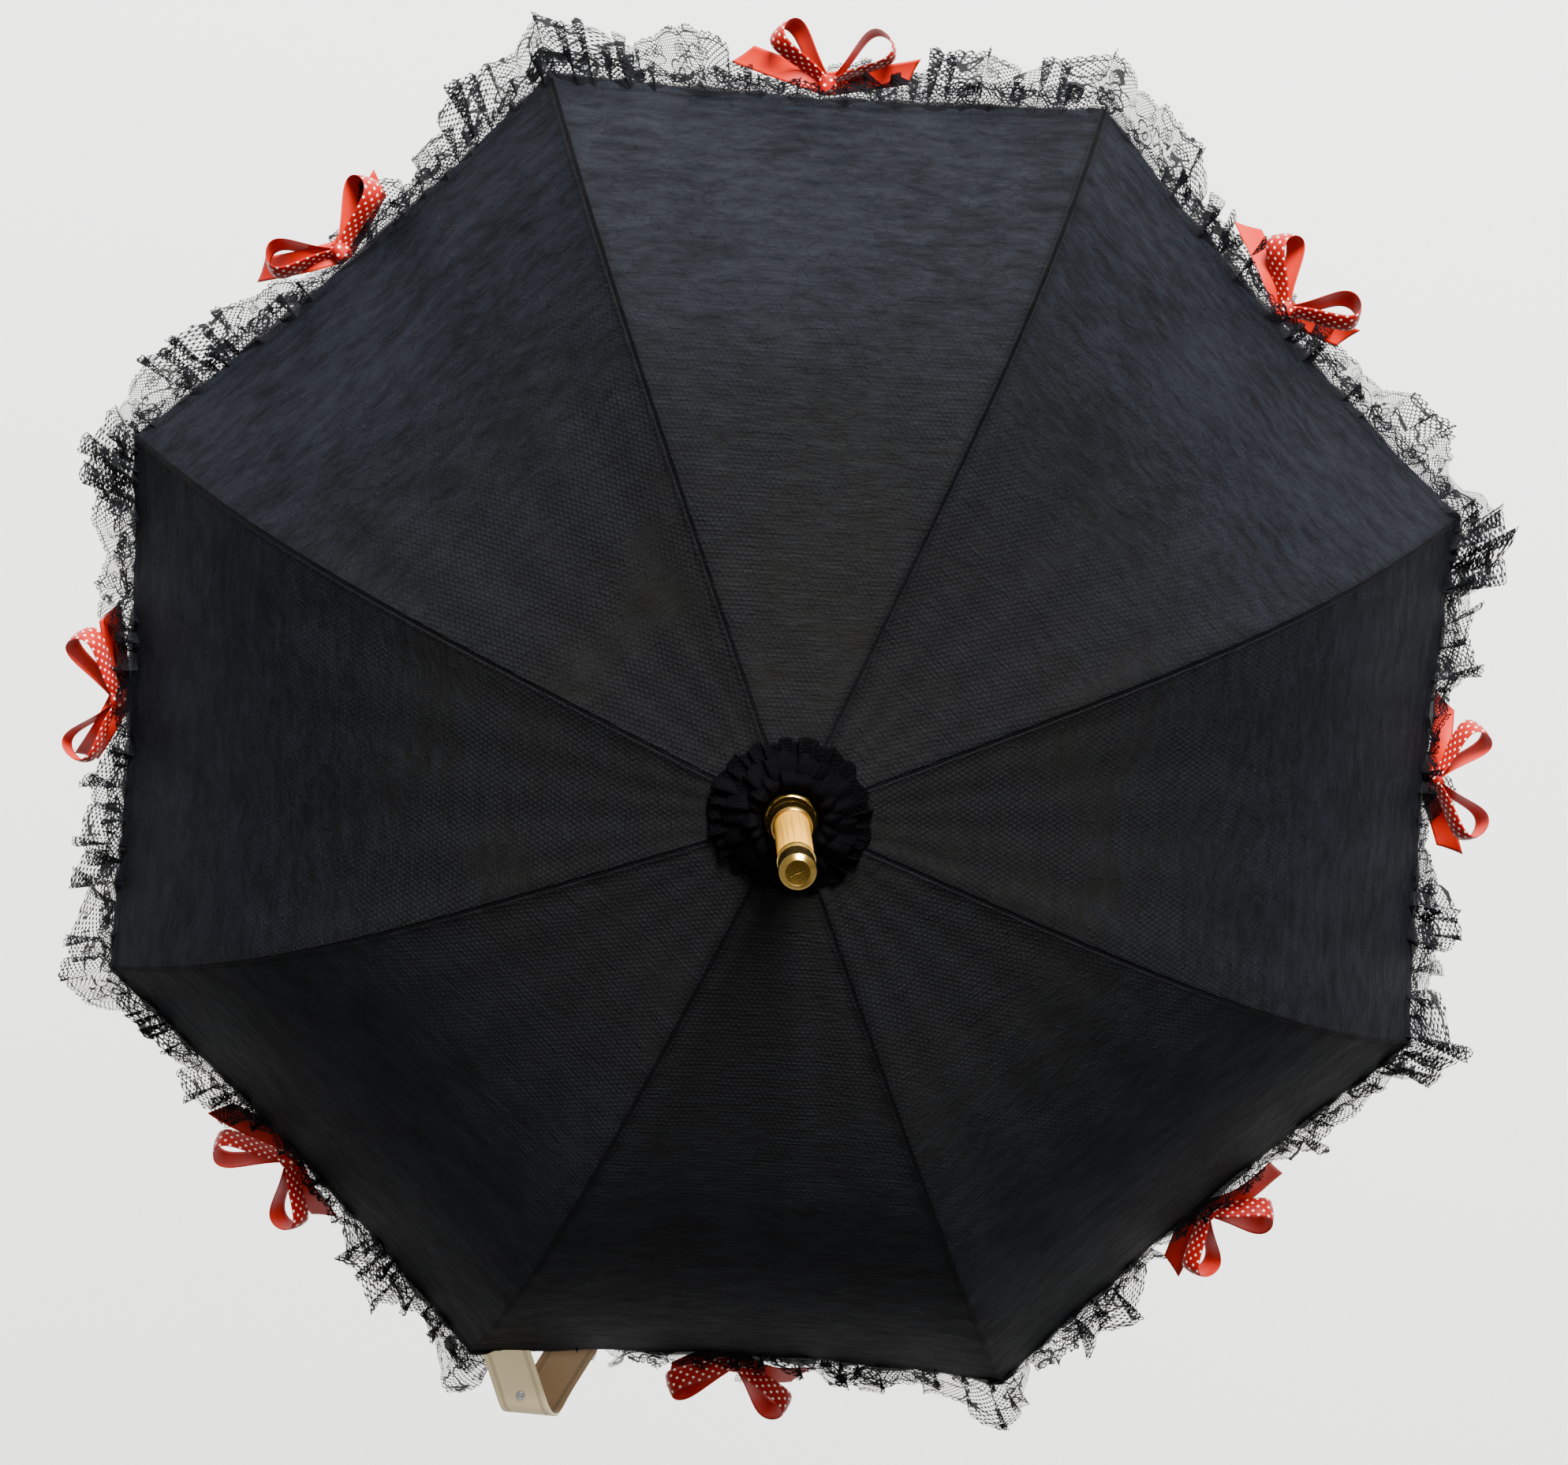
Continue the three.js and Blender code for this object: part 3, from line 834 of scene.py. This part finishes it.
def buildStretcher(k):
    start = np.array([linkage["hinge"], 0, runnerZ])
    along = np.array([math.cos(linkAngle), 0, math.sin(linkAngle)])
    inset, fork, tall = linkage["rodInset"], linkLength - linkage["fork"], linkage["forkTall"]

    def bar(name, low, high, section, y=0.0):
        steps = np.linspace(low, high, 6)[:, None]
        return sweptMesh(name, start + along * steps + np.array([0, y, 0]), section, (0, 1, 0))

    def atPivot(name, radius, length, y=0.0):
        return crossPin(name, radius, length, pivot[0], pivot[2], y)

    pieces = [
        bar("rod", inset, linkLength - inset, roundSection(linkage["rodRadius"], 20)),
        bar("shank", 0.0, 0.012, boxSection(blade / 2, linkage["shankTall"])),
        crossPin("eye", linkage["eye"], blade, linkage["hinge"], runnerZ),
        bar("bridge", fork, linkLength - inset, boxSection(linkage["bridgeWide"], tall)),
    ]
    for side in (-1, 1):
        y = side * linkage["cheekAt"]
        section = boxSection(linkage["cheekWide"] / 2, tall)
        pieces += [
            bar("cheek", fork, linkLength, section, y),
            atPivot("cheekEnd", linkage["lug"], linkage["cheekWide"], y),
            atPivot("head", linkage["headRadius"], linkage["headThick"], side * linkage["headAt"]),
        ]
    pieces.append(atPivot("rivet", linkage["rivetRadius"], linkage["rivetLong"]))
    mesh = turnMesh(joined("stretcher", pieces), k)
    sharp(place(f"stretcher_bar_{k}", mesh, [enamel], f"stretcher_{k}_body",
                [f"stretcher_{k}"]))


# Lace edging: one gathered strip right round the rim, cut at the panels' middles
laceEdge = {
    "columns": 480, "rows": 18, "gather": 1.5, "scallop": 0.0205, "bite": 0.0034, "inset": 0.004,
    "under": 0.0020, "strapAt": 6.17, "strapWide": 0.13, "overlap": 1.02,
}
laceLayers = [
    {"name": "flounce", "wide": 0.050, "narrow": 0.044, "folds": 88, "depth": 0.0074,
     "lift": 0.0, "cornerLean": 42, "middleLean": 66, "seed": 11},
    {"name": "frill", "wide": 0.025, "narrow": 0.016, "folds": 104, "depth": 0.0054,
     "lift": 0.0016, "cornerLean": 40, "middleLean": 28, "seed": 29},
]


def buildLace(k, layer):
    t = np.linspace(-1, 1, laceEdge["columns"])
    g = k + t / 2
    middle = np.abs(t) ** 1.3
    hemLength = 2 * dome["rim"] * math.sin(halfPanel)
    flat = (g + 100) * hemLength * laceEdge["gather"]
    wide = layer["wide"] * (1 - middle) + layer["narrow"] * middle
    strapHere = np.exp(-(((g - laceEdge["strapAt"]) / laceEdge["strapWide"]) ** 4))
    if layer["name"] == "frill":
        wide = wide * (1 - 0.7 * strapHere)
    scallop = np.abs(np.sin(math.pi * flat / laceEdge["scallop"]))
    reach = wide - laceEdge["bite"] * (1 - scallop)
    share = np.linspace(0, 1, laceEdge["rows"])[:, None]
    down = reach[None] * share
    seed = layer["seed"]
    # folds that deepen towards the free edge, with a slower drift between them
    phase = 2 * math.pi * layer["folds"] * g / ribCount + 2.4 * waves(g, seed, 6, 8, 44)
    phase = np.broadcast_to(phase, down.shape)
    swell = np.clip(0.85 + 0.45 * waves(g, seed + 1, 5, 6, 30)[None], 0.25, 1.7)
    depth = layer["depth"] * swell * (0.10 + 0.90 * share ** 0.75)
    shift = depth * (0.85 * np.sin(2 * phase + 0.6) + 0.35 * np.sin(0.5 * phase))
    out = depth * np.sin(phase + 0.5 * share) + 0.2 * depth * np.sin(2.7 * phase + 1.1)
    out = out + layer["lift"] * share
    cornerLean, middleLean = math.radians(layer["cornerLean"]), math.radians(layer["middleLean"])
    lean = cornerLean * (1 - middle) + middleLean * middle
    lean = lean + 0.20 * waves(g, seed + 2, 5, 9, 36)[None] * (1 - strapHere) + 0.45 * strapHere
    lean = lean + 0.35 * (share - 0.5) * waves(g, seed + 3, 4, 12, 40)[None]
    overlap = laceEdge["overlap"]
    across = np.clip(t[None] + shift / (hemLength / 2), -overlap, overlap)
    hemR = np.full(down.shape, dome["rim"] - laceEdge["inset"])
    base = clothPoint(hemR, across, -laceEdge["under"], k)
    turn = ribTurn(k) + halfPanel * across
    along = down * np.cos(lean) + out * np.sin(lean)
    fall = down * np.sin(lean) - out * np.cos(lean)
    grid = base + np.stack([np.cos(turn) * along, np.sin(turn) * along, -fall], -1)
    flatGrid = np.broadcast_to(flat[None], down.shape)
    maps = {
        "cloth": np.stack([flatGrid, down], -1),
        "edge": np.stack([flatGrid, reach[None] - down], -1),
    }
    piece = place(f"lace_{layer['name']}_{k}", openSheet("laceStrip", grid, maps), [lace],
                  f"rib_{k}_body", [f"lace_trim_{k}"])
    squashWithRib(piece)


# Ribbon bows; spreads and leans in degrees
bowShape = {
    "wide": 0.0145, "thick": 0.00028, "loop": 0.044, "fat": 0.0115, "spread": 40, "lean": 4,
    "tail": 0.047, "tailWide": 0.96, "notch": 0.010, "curl": 0.006, "cup": 0.06,
    "knotAlong": 0.0044, "knotUp": 0.0046, "knotWide": 0.8, "out": 0.007, "below": 0.009,
    "loopRibbon": 0.1, "tailRibbon": 0.06, "ribbon": 0.33,
}


def ribbonStrip(name, line, side, wide, thick, start, cut=None):
    # line and side are rows of points and directions; cut(v) is extra length at the far end
    line = np.asarray(line, float)
    tangent, side = lineFrame(line, side)
    normal = np.cross(side, tangent)
    v = np.linspace(-0.5, 0.5, 9) * wide
    run = start + runAlong(line)
    cup = bowShape["cup"] * wide * (1 - (2 * v / wide) ** 2)
    grid = line[:, None] + v[None, :, None] * side[:, None] + cup[None, :, None] * normal[:, None]
    u = np.repeat(run[:, None], len(v), 1)
    if cut is not None:
        share = np.linspace(0, 1, len(line))[:, None, None] ** 3
        extra = np.array([cut(x / wide) for x in v])[None, :, None]
        grid = grid + share * extra * tangent[:, None]
        u = u + (share * extra)[..., 0]
    maps = {"cloth": np.stack([u, np.repeat(v[None], len(line), 0)], -1)}
    half = normal[:, None] * thick / 2
    return closedSheet(name, grid + half, grid - half, maps)


def loopStrip(direction, rise, side, length, start):
    # a teardrop loop that leaves the knot, turns at the far end and comes back under itself
    t = np.linspace(0, 1, 44)
    bulge = np.sin(math.pi * t)
    reach = length * bulge ** 0.8
    belly = bowShape["fat"] * np.sin(2 * math.pi * t) * (0.35 + 0.65 * bulge)
    line = direction * reach[:, None] + rise * belly[:, None]
    sides = np.repeat(side[None], len(t), 0)
    mesh = ribbonStrip("loop", line, sides, bowShape["wide"], bowShape["thick"], start)
    return pinchRows(mesh, 2, line, 0.55 + 0.45 * bulge ** 0.5)


def buildBow(k):
    chance = np.random.default_rng(40 + k)
    wide, thick = bowShape["wide"], bowShape["thick"]
    tangent, outward = directions(ribTurn(k) + halfPanel)
    lean = math.radians(bowShape["lean"] + chance.uniform(-6, 8))
    out = outward * math.cos(lean) - upward * math.sin(lean)
    rise = outward * math.sin(lean) + upward * math.cos(lean)
    meshes = []
    used = 0.0
    for side in (-1, 1):
        spread = math.radians(bowShape["spread"] + chance.uniform(-12, 14))
        direction = side * tangent * math.cos(spread) + out * math.sin(spread)
        flank = np.cross(rise, direction)
        roll = math.radians(chance.uniform(42, 72)) * side
        rolled = rise * math.cos(roll) + flank * math.sin(roll)
        flank = -np.cross(rolled, direction)
        length = bowShape["loop"] * chance.uniform(0.92, 1.06)
        meshes.append(loopStrip(direction, rolled, flank, length, used))
        used += bowShape["loopRibbon"]
        t = np.linspace(0, 1, 26)[:, None]
        splay = math.radians(chance.uniform(8, 26))
        tailTo = side * tangent * math.cos(splay) + out * math.sin(splay)
        curl = bowShape["curl"] * np.sin(t * math.pi * 1.3) * side
        line = (tailTo * t * bowShape["tail"] * chance.uniform(0.9, 1.1)
                + rise * (curl - 0.004 * t) - upward * (0.004 + 0.012 * t ** 2))
        flank = np.repeat(np.cross(rise, tailTo)[None] + 0.25 * rise[None], len(t), 0)
        slant = chance.choice([-1, 1])
        meshes.append(ribbonStrip("tail", line, flank, wide * bowShape["tailWide"], thick, used,
                                  lambda x, s=slant: s * x * bowShape["notch"]))
        used += bowShape["tailRibbon"]
    angle = np.linspace(0, 2 * math.pi, 40)
    ring = (tangent * bowShape["knotAlong"] * np.cos(angle)[:, None] * -1
            + rise * bowShape["knotUp"] * np.sin(angle)[:, None])
    meshes.append(ribbonStrip("knot", ring, np.repeat(out[None], len(angle), 0),
                              wide * bowShape["knotWide"], thick * 2, used))
    mesh = joined("bow", meshes)
    hem = clothPoint(np.array(dome["rim"]), np.array(1.0), 0.0, k)
    centre = hem + outward * bowShape["out"] - upward * bowShape["below"]
    mesh.transform(Matrix.Translation(Vector(centre)))
    piece = place(f"ribbon_bow_{k}", mesh, [ribbonFront, ribbonBack], f"rib_{k}_body",
                  [f"bow_{k}"])
    squashWithRib(piece)


# Rosette: three tiers of gathered cloth round the collar
rosette = {
    "tiers": [
        {"inner": 0.0125, "outer": 0.0480, "foot": 0.0020, "rise": 0.0020, "drop": 0.0075,
         "wave": 0.0042, "turns": 19},
        {"inner": 0.0160, "outer": 0.0400, "foot": 0.0040, "rise": 0.0045, "drop": 0.0050,
         "wave": 0.0044, "turns": 15},
        {"inner": 0.0158, "outer": 0.0300, "foot": 0.0055, "rise": 0.0065, "drop": 0.0035,
         "wave": 0.0040, "turns": 12},
    ],
    "columns": 420, "rows": 22, "thick": 0.0005, "collar": 0.0158, "clear": 0.0012,
    "tierGap": 0.0006, "strip": (0.025, 0.62),
}


def buildRosette():
    meshes = []
    for number, tier in enumerate(rosette["tiers"]):
        chance = np.random.default_rng(70 + number)
        turns = tier["turns"]
        around = np.linspace(0, 2 * math.pi, rosette["columns"], endpoint=False)
        angle, share = np.meshgrid(around, np.linspace(0, 1, rosette["rows"]), indexing="xy")
        wander = sum(np.sin(n * angle + chance.uniform(0, 6.3)) / n for n in (2, 3, 5))
        outer = tier["outer"] * (0.95 + 0.05 * wander + 0.03 * np.sin(turns * angle + wander))
        r = tier["inner"] + (outer - tier["inner"]) * share
        fold = sum(np.sin(int(n) * angle + chance.uniform(0, 6.3) + 1.2 * wander)
                   for n in chance.integers(turns // 2, turns * 2, 5)) / 1.7
        z = (dome["crown"] + tier["foot"] - dome["cone"] * r
             + tier["rise"] * np.sin(math.pi * share * 0.9) - tier["drop"] * share ** 2 * 0.35
             + tier["wave"] * fold * (0.25 + 0.75 * share) * 0.5)
        # the inner edge is gathered flat under the collar
        free = np.clip((r - rosette["collar"]) / 0.0025, 0, 1)
        z = (dome["crown"] + 0.0002) * (1 - free) + z * free
        floor = dome["crown"] - clothFall(r) + rosette["clear"] * free
        z = np.maximum(z, floor + rosette["tierGap"] * number)
        twist = angle + (0.05 * fold + 0.10 * wander) * share
        grid = np.stack([r * np.cos(twist), r * np.sin(twist), z], -1)
        lower = grid - np.array([0, 0, rosette["thick"]])
        maps = {"cloth": np.stack([angle * 0.045 + number, r], -1)}
        meshes.append(closedSheet("tier", grid, lower, maps, True))
    piece = place("rosette", joined("rosette", meshes), [rosetteCloth, rosetteCloth], "stick",
                  ["outer_rosette"])


for k in range(1, ribCount + 1):
    buildRib(k)
    buildStretcher(k)
    buildGore(k)
    for layer in laceLayers:
        buildLace(k, layer)
    buildBow(k)
buildRosette()
print("canopy, linkage, lace and bows built")


# Turned pieces on the stick, as radius and height above a base height
turned = {
    "neck": 0.097, "discRadius": 0.0071, "discDeep": 0.001,
    "spikeFoot": [(0, 0.0383), (0.00735, 0.0383), (0.00735, 0.003), (0.0098, 0.003),
                  (0.0102, 0.0034), (0.0102, 0.05)],
    "spikeNeck": [(0.0102, -0.0062), (0.0094, -0.0045), (0.0094, 0.010), (0, 0.010)],
    "capNeck": [(0, 0.0103), (0.0097, 0.0103), (0.0097, -0.004), (0.0105, -0.004),
                (0.0108, -0.0036), (0.0108, -0.0016), (0.0104, -0.0010), (0.0101, -0.0006),
                (0.0101, 0.0016), (0.0104, 0.0022), (0.0105, 0.0030)],
    "capTip": [(0.0105, -0.0036), (0.0104, -0.0031), (0.0077, -0.0004), (0.0073, -0.0002),
               (0.0070, -0.0003), (0, -0.0005)],
    "collar": [(0.0105, 0.0006), (0.0150, 0.0006), (0.0154, 0.0010), (0.0155, 0.0026),
               (0.0153, 0.0040), (0.0145, 0.0050), (0.0139, 0.0054), (0.0137, 0.0060),
               (0.0138, 0.0110), (0.0136, 0.0122), (0.0130, 0.0132), (0.0127, 0.0140),
               (0.0126, 0.0190), (0.0123, 0.0212), (0.0116, 0.0226), (0.0110, 0.0231),
               (0.0105, 0.0230)],
    "handleLow": [(0.00735, 0), (0.0104, 0), (0.0106, 0.0004), (0.0106, 0.0022),
                  (0.0101, 0.0027), (0.0101, 0.0085), (0.0106, 0.0090)],
    "handleHigh": [(0.0106, -0.003), (0.0101, -0.0016), (0.0088, -0.0002), (0.0084, 0),
                   (0.00735, 0)],
}


def heights(node):
    low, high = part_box(node)
    return low.z, high.z


def buildTurned(name, parts, finish, node):
    profile = [(radius, base + height) for base, key in parts for radius, height in turned[key]]
    mesh = turnedMesh(name, profile)
    return sharp(place(name, mesh, [finish], "stick", [node]), 30)


crown = dome["crown"]
neck = crown + turned["neck"]
tipZ = heights("ferrule_cap")[1]
handleLow, handleHigh = heights("handle_collar")
buildTurned("ferrule_wood", [(crown, "spikeFoot"), (neck, "spikeNeck")], wood,
            "ferrule_spike")
cap = buildTurned("ferrule_brass", [(neck, "capNeck"), (tipZ, "capTip")], brass,
                  "ferrule_cap")
cap.data.materials.append(agedBrass.material)
for polygon in cap.data.polygons:
    centre = polygon.center
    if centre.z > tipZ - turned["discDeep"] and centre.xy.length < turned["discRadius"]:
        polygon.material_index = 1
buildTurned("collar_brass", [(crown, "collar")], brass, "crown_collar")
buildTurned("handle_brass", [(handleLow, "handleLow"), (handleHigh, "handleHigh")], brass,
            "handle_collar")

# Pieces kept from the CAD with a finish of their own
keptFinishes = {
    "crown_notch": enamel, "runner": enamel, "crown_wire": steel, "runner_wire": steel,
    "top_catch_spring": steel, "bottom_catch_spring": steel,
}
for node, finish in keptFinishes.items():
    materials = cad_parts[node].data.materials
    materials.clear()
    materials.append(finish.material)
print("turned pieces built")


# Stick and crook; the crook's round end is rows further out, each smaller
stick = {
    "radius": 0.007, "crookRadius": 0.0095, "bend": 0.034, "gripLow": -0.045, "pastHalf": 0.06,
    "endOut": (0.3, 0.6, 0.8, 0.92, 0.98), "endSize": (0.954, 0.8, 0.6, 0.392, 0.199),
}


def buildShaft():
    line = [(0, 0, z) for z in np.linspace(*heights("shaft"), 40)]
    mesh = sweptMesh("shaft", line, roundSection(stick["radius"], 48), (1, 0, 0))
    sharp(place("stick_wood", mesh, [wood], "stick", ["shaft"]))


def buildCrook():
    radius, bend, gripLow = stick["crookRadius"], stick["bend"], stick["gripLow"]
    straight = np.linspace(heights("handle_crook")[1], gripLow, 24)
    line = [(0, 0, z) for z in straight[:-1]]
    for angle in np.linspace(math.pi, -stick["pastHalf"] * math.pi, 60):
        line.append((bend * (1 + math.cos(angle)), 0, gripLow - bend * math.sin(angle)))
    line = np.array(line)
    ahead = unitRows(np.gradient(line, axis=0))[-1]
    tail = np.array([line[-1] + ahead * radius * s for s in stick["endOut"]])
    size = np.concatenate([np.ones(len(line)), stick["endSize"]])
    line = np.concatenate([line, tail])
    mesh = sweptMesh("crook", line, roundSection(radius, 40), (0, 1, 0))
    pinchRows(mesh, 1, line, size)
    sharp(place("crook_wood", mesh, [wood], "stick", ["handle_crook"]), 60)


buildShaft()
buildCrook()


# Closing strap and its snap, beside the corner of rib 6; slant and headings in degrees
strap = {
    "rib": 6, "wide": 0.028, "thick": 0.0016, "slant": 23, "corner": 0.0205, "start": -0.0045,
    "length": 0.1010, "bendFrom": 0.024, "bendTo": 0.076, "headOut": -4, "headBack": 190,
    "rows": 90, "columns": 15, "snapAt": 0.028, "snapSize": 0.5,
    "snap": [(0, 0.0008), (0.0052, 0.0008), (0.0056, 0.0011), (0.0056, 0.0015), (0.0050, 0.0020),
             (0.0036, 0.0021), (0.0030, 0.0018), (0.0018, 0.0020), (0, 0.0021)],
}


def buildStrap():
    k = strap["rib"]
    slant = math.radians(strap["slant"])
    tangent, outward = directions(ribTurn(k) + halfPanel * 0.9)
    corner = clothPoint(np.array(dome["rim"]), np.array(0.0), 0.0, k)
    hem = corner + tangent * strap["corner"]
    # the path heads out from the hem, turns under itself and comes back below
    a = np.linspace(0, strap["length"], strap["rows"])
    share = np.clip((a - strap["bendFrom"]) / (strap["bendTo"] - strap["bendFrom"]), 0, 1)
    share = share * share * (3 - 2 * share)
    heading = np.radians(strap["headOut"] + (strap["headBack"] - strap["headOut"]) * share)
    step = a[1] - a[0]
    out = strap["start"] + np.concatenate([[0], np.cumsum(np.cos(heading[1:]))]) * step
    drop = np.concatenate([[0], np.cumsum(np.sin(heading[1:]))]) * step
    v = np.linspace(0.5, -0.5, strap["columns"]) * strap["wide"]
    along = a[:, None] * math.tan(slant) + v[None] / math.cos(slant)
    path = hem + outward * out[:, None] - upward * drop[:, None]
    grid = path[:, None] + tangent * along[..., None]
    facing = outward * np.sin(heading)[:, None] + upward * np.cos(heading)[:, None]
    half = facing[:, None] * strap["thick"] / 2
    run = a[:, None] / math.cos(slant) + v[None] * math.tan(slant)
    maps = {"cloth": np.stack([run, np.repeat(v[None], len(a), 0)], -1)}
    mesh = closedSheet("strap", grid + half, grid - half, maps)
    # the loop's inner face, seen on the lower arm under the top arm, takes the darker felt: painted
    # shade
    piece = place("strap_felt", mesh, [felt, shadedFelt], f"rib_{k}_body",
                  ["closing_strap"])
    row = int(np.searchsorted(a, strap["snapAt"]))
    normal = facing[row]
    axes = np.stack([tangent, np.cross(normal, tangent), normal], -1)
    size = strap["snapSize"]
    snap = turnedMesh("snap", strap["snap"], 48)
    snap.transform(Matrix.Diagonal((size, size, 1, 1)))
    snap.transform(Matrix.Translation(Vector(grid[row, strap["columns"] // 2]))
                   @ Matrix(axes.tolist()).to_4x4())
    place("snap_stud", snap, [steel], f"rib_{k}_body", ["strap_snap"])


buildStrap()
print("strap and handle built")


# Floor, light and camera
stageShape = {
    "floorZ": -1.0, "floorSize": 60.0, "skyStrength": 0.42, "aim": (0, 0, 0.4),
    "lights": [
        {"name": "key", "at": (0.9, 6.0, 4.0), "size": 2.6, "power": 3500.0},
        {"name": "top", "at": (0.4, 1.8, 4.8), "size": 1.6, "power": 60.0},
    ],
}


def buildStage():
    half = stageShape["floorSize"] / 2
    z = stageShape["floorZ"]
    corners = [(x, y, z) for x, y in boxSection(half, half)]
    mesh = makeMesh("floor", corners, [(0, 1, 2, 3)])
    mesh.materials.append(Finish("paleFloor", tones["floor"], Roughness=0.9).material)
    objects = [addObject("floor", mesh)]
    world = bpy.data.worlds.new("studio")
    world.use_nodes = True
    sky = world.node_tree.nodes["Background"]
    sky.inputs["Color"].default_value = tones["sky"]
    sky.inputs["Strength"].default_value = stageShape["skyStrength"]
    bpy.context.scene.world = world
    for light in stageShape["lights"]:
        data = bpy.data.lights.new(light["name"], "AREA")
        data.shape = "SQUARE"
        data.size = light["size"]
        data.energy = light["power"]
        lamp = addObject(light["name"], data)
        lamp.location = light["at"]
        aim = Vector(stageShape["aim"]) - Vector(light["at"])
        lamp.rotation_euler = aim.to_track_quat("-Z", "Y").to_euler()
        objects.append(lamp)


# The camera looks down on the ferrule, leaning back a little from the stick's axis
view = {
    "tilt": 14.0, "leanAzimuth": -82.4, "roll": -3.77, "distance": 3.78, "aside": 0.0038,
    "below": 0.0483, "lens": 153.5, "sensor": 36.0,
}


def buildCamera():
    tilt = math.radians(view["tilt"])
    lean = math.radians(view["leanAzimuth"])
    theta = lean - math.radians(view["roll"])
    flat = Vector((math.cos(theta), math.sin(theta), 0))
    cross = Vector((-math.sin(theta), math.cos(theta), 0))
    axis = Vector((0, 0, 1))
    back = axis * math.cos(tilt) - flat * math.sin(tilt)
    up = (flat * math.cos(tilt) + axis * math.sin(tilt)) * math.sin(lean) + cross * math.cos(lean)
    right = up.cross(back)
    hub = Vector((0, 0, dome["crown"]))
    at = hub + back * view["distance"] - right * view["aside"] + up * view["below"]
    data = bpy.data.cameras.new("camera")
    data.lens = view["lens"]
    data.sensor_width = view["sensor"]
    camera = addObject("camera", data)
    camera.matrix_world = Matrix((
        (right.x, up.x, back.x, at.x), (right.y, up.y, back.y, at.y),
        (right.z, up.z, back.z, at.z), (0, 0, 0, 1)))
    bpy.context.scene.camera = camera


buildStage()
buildCamera()
print("stage ready")
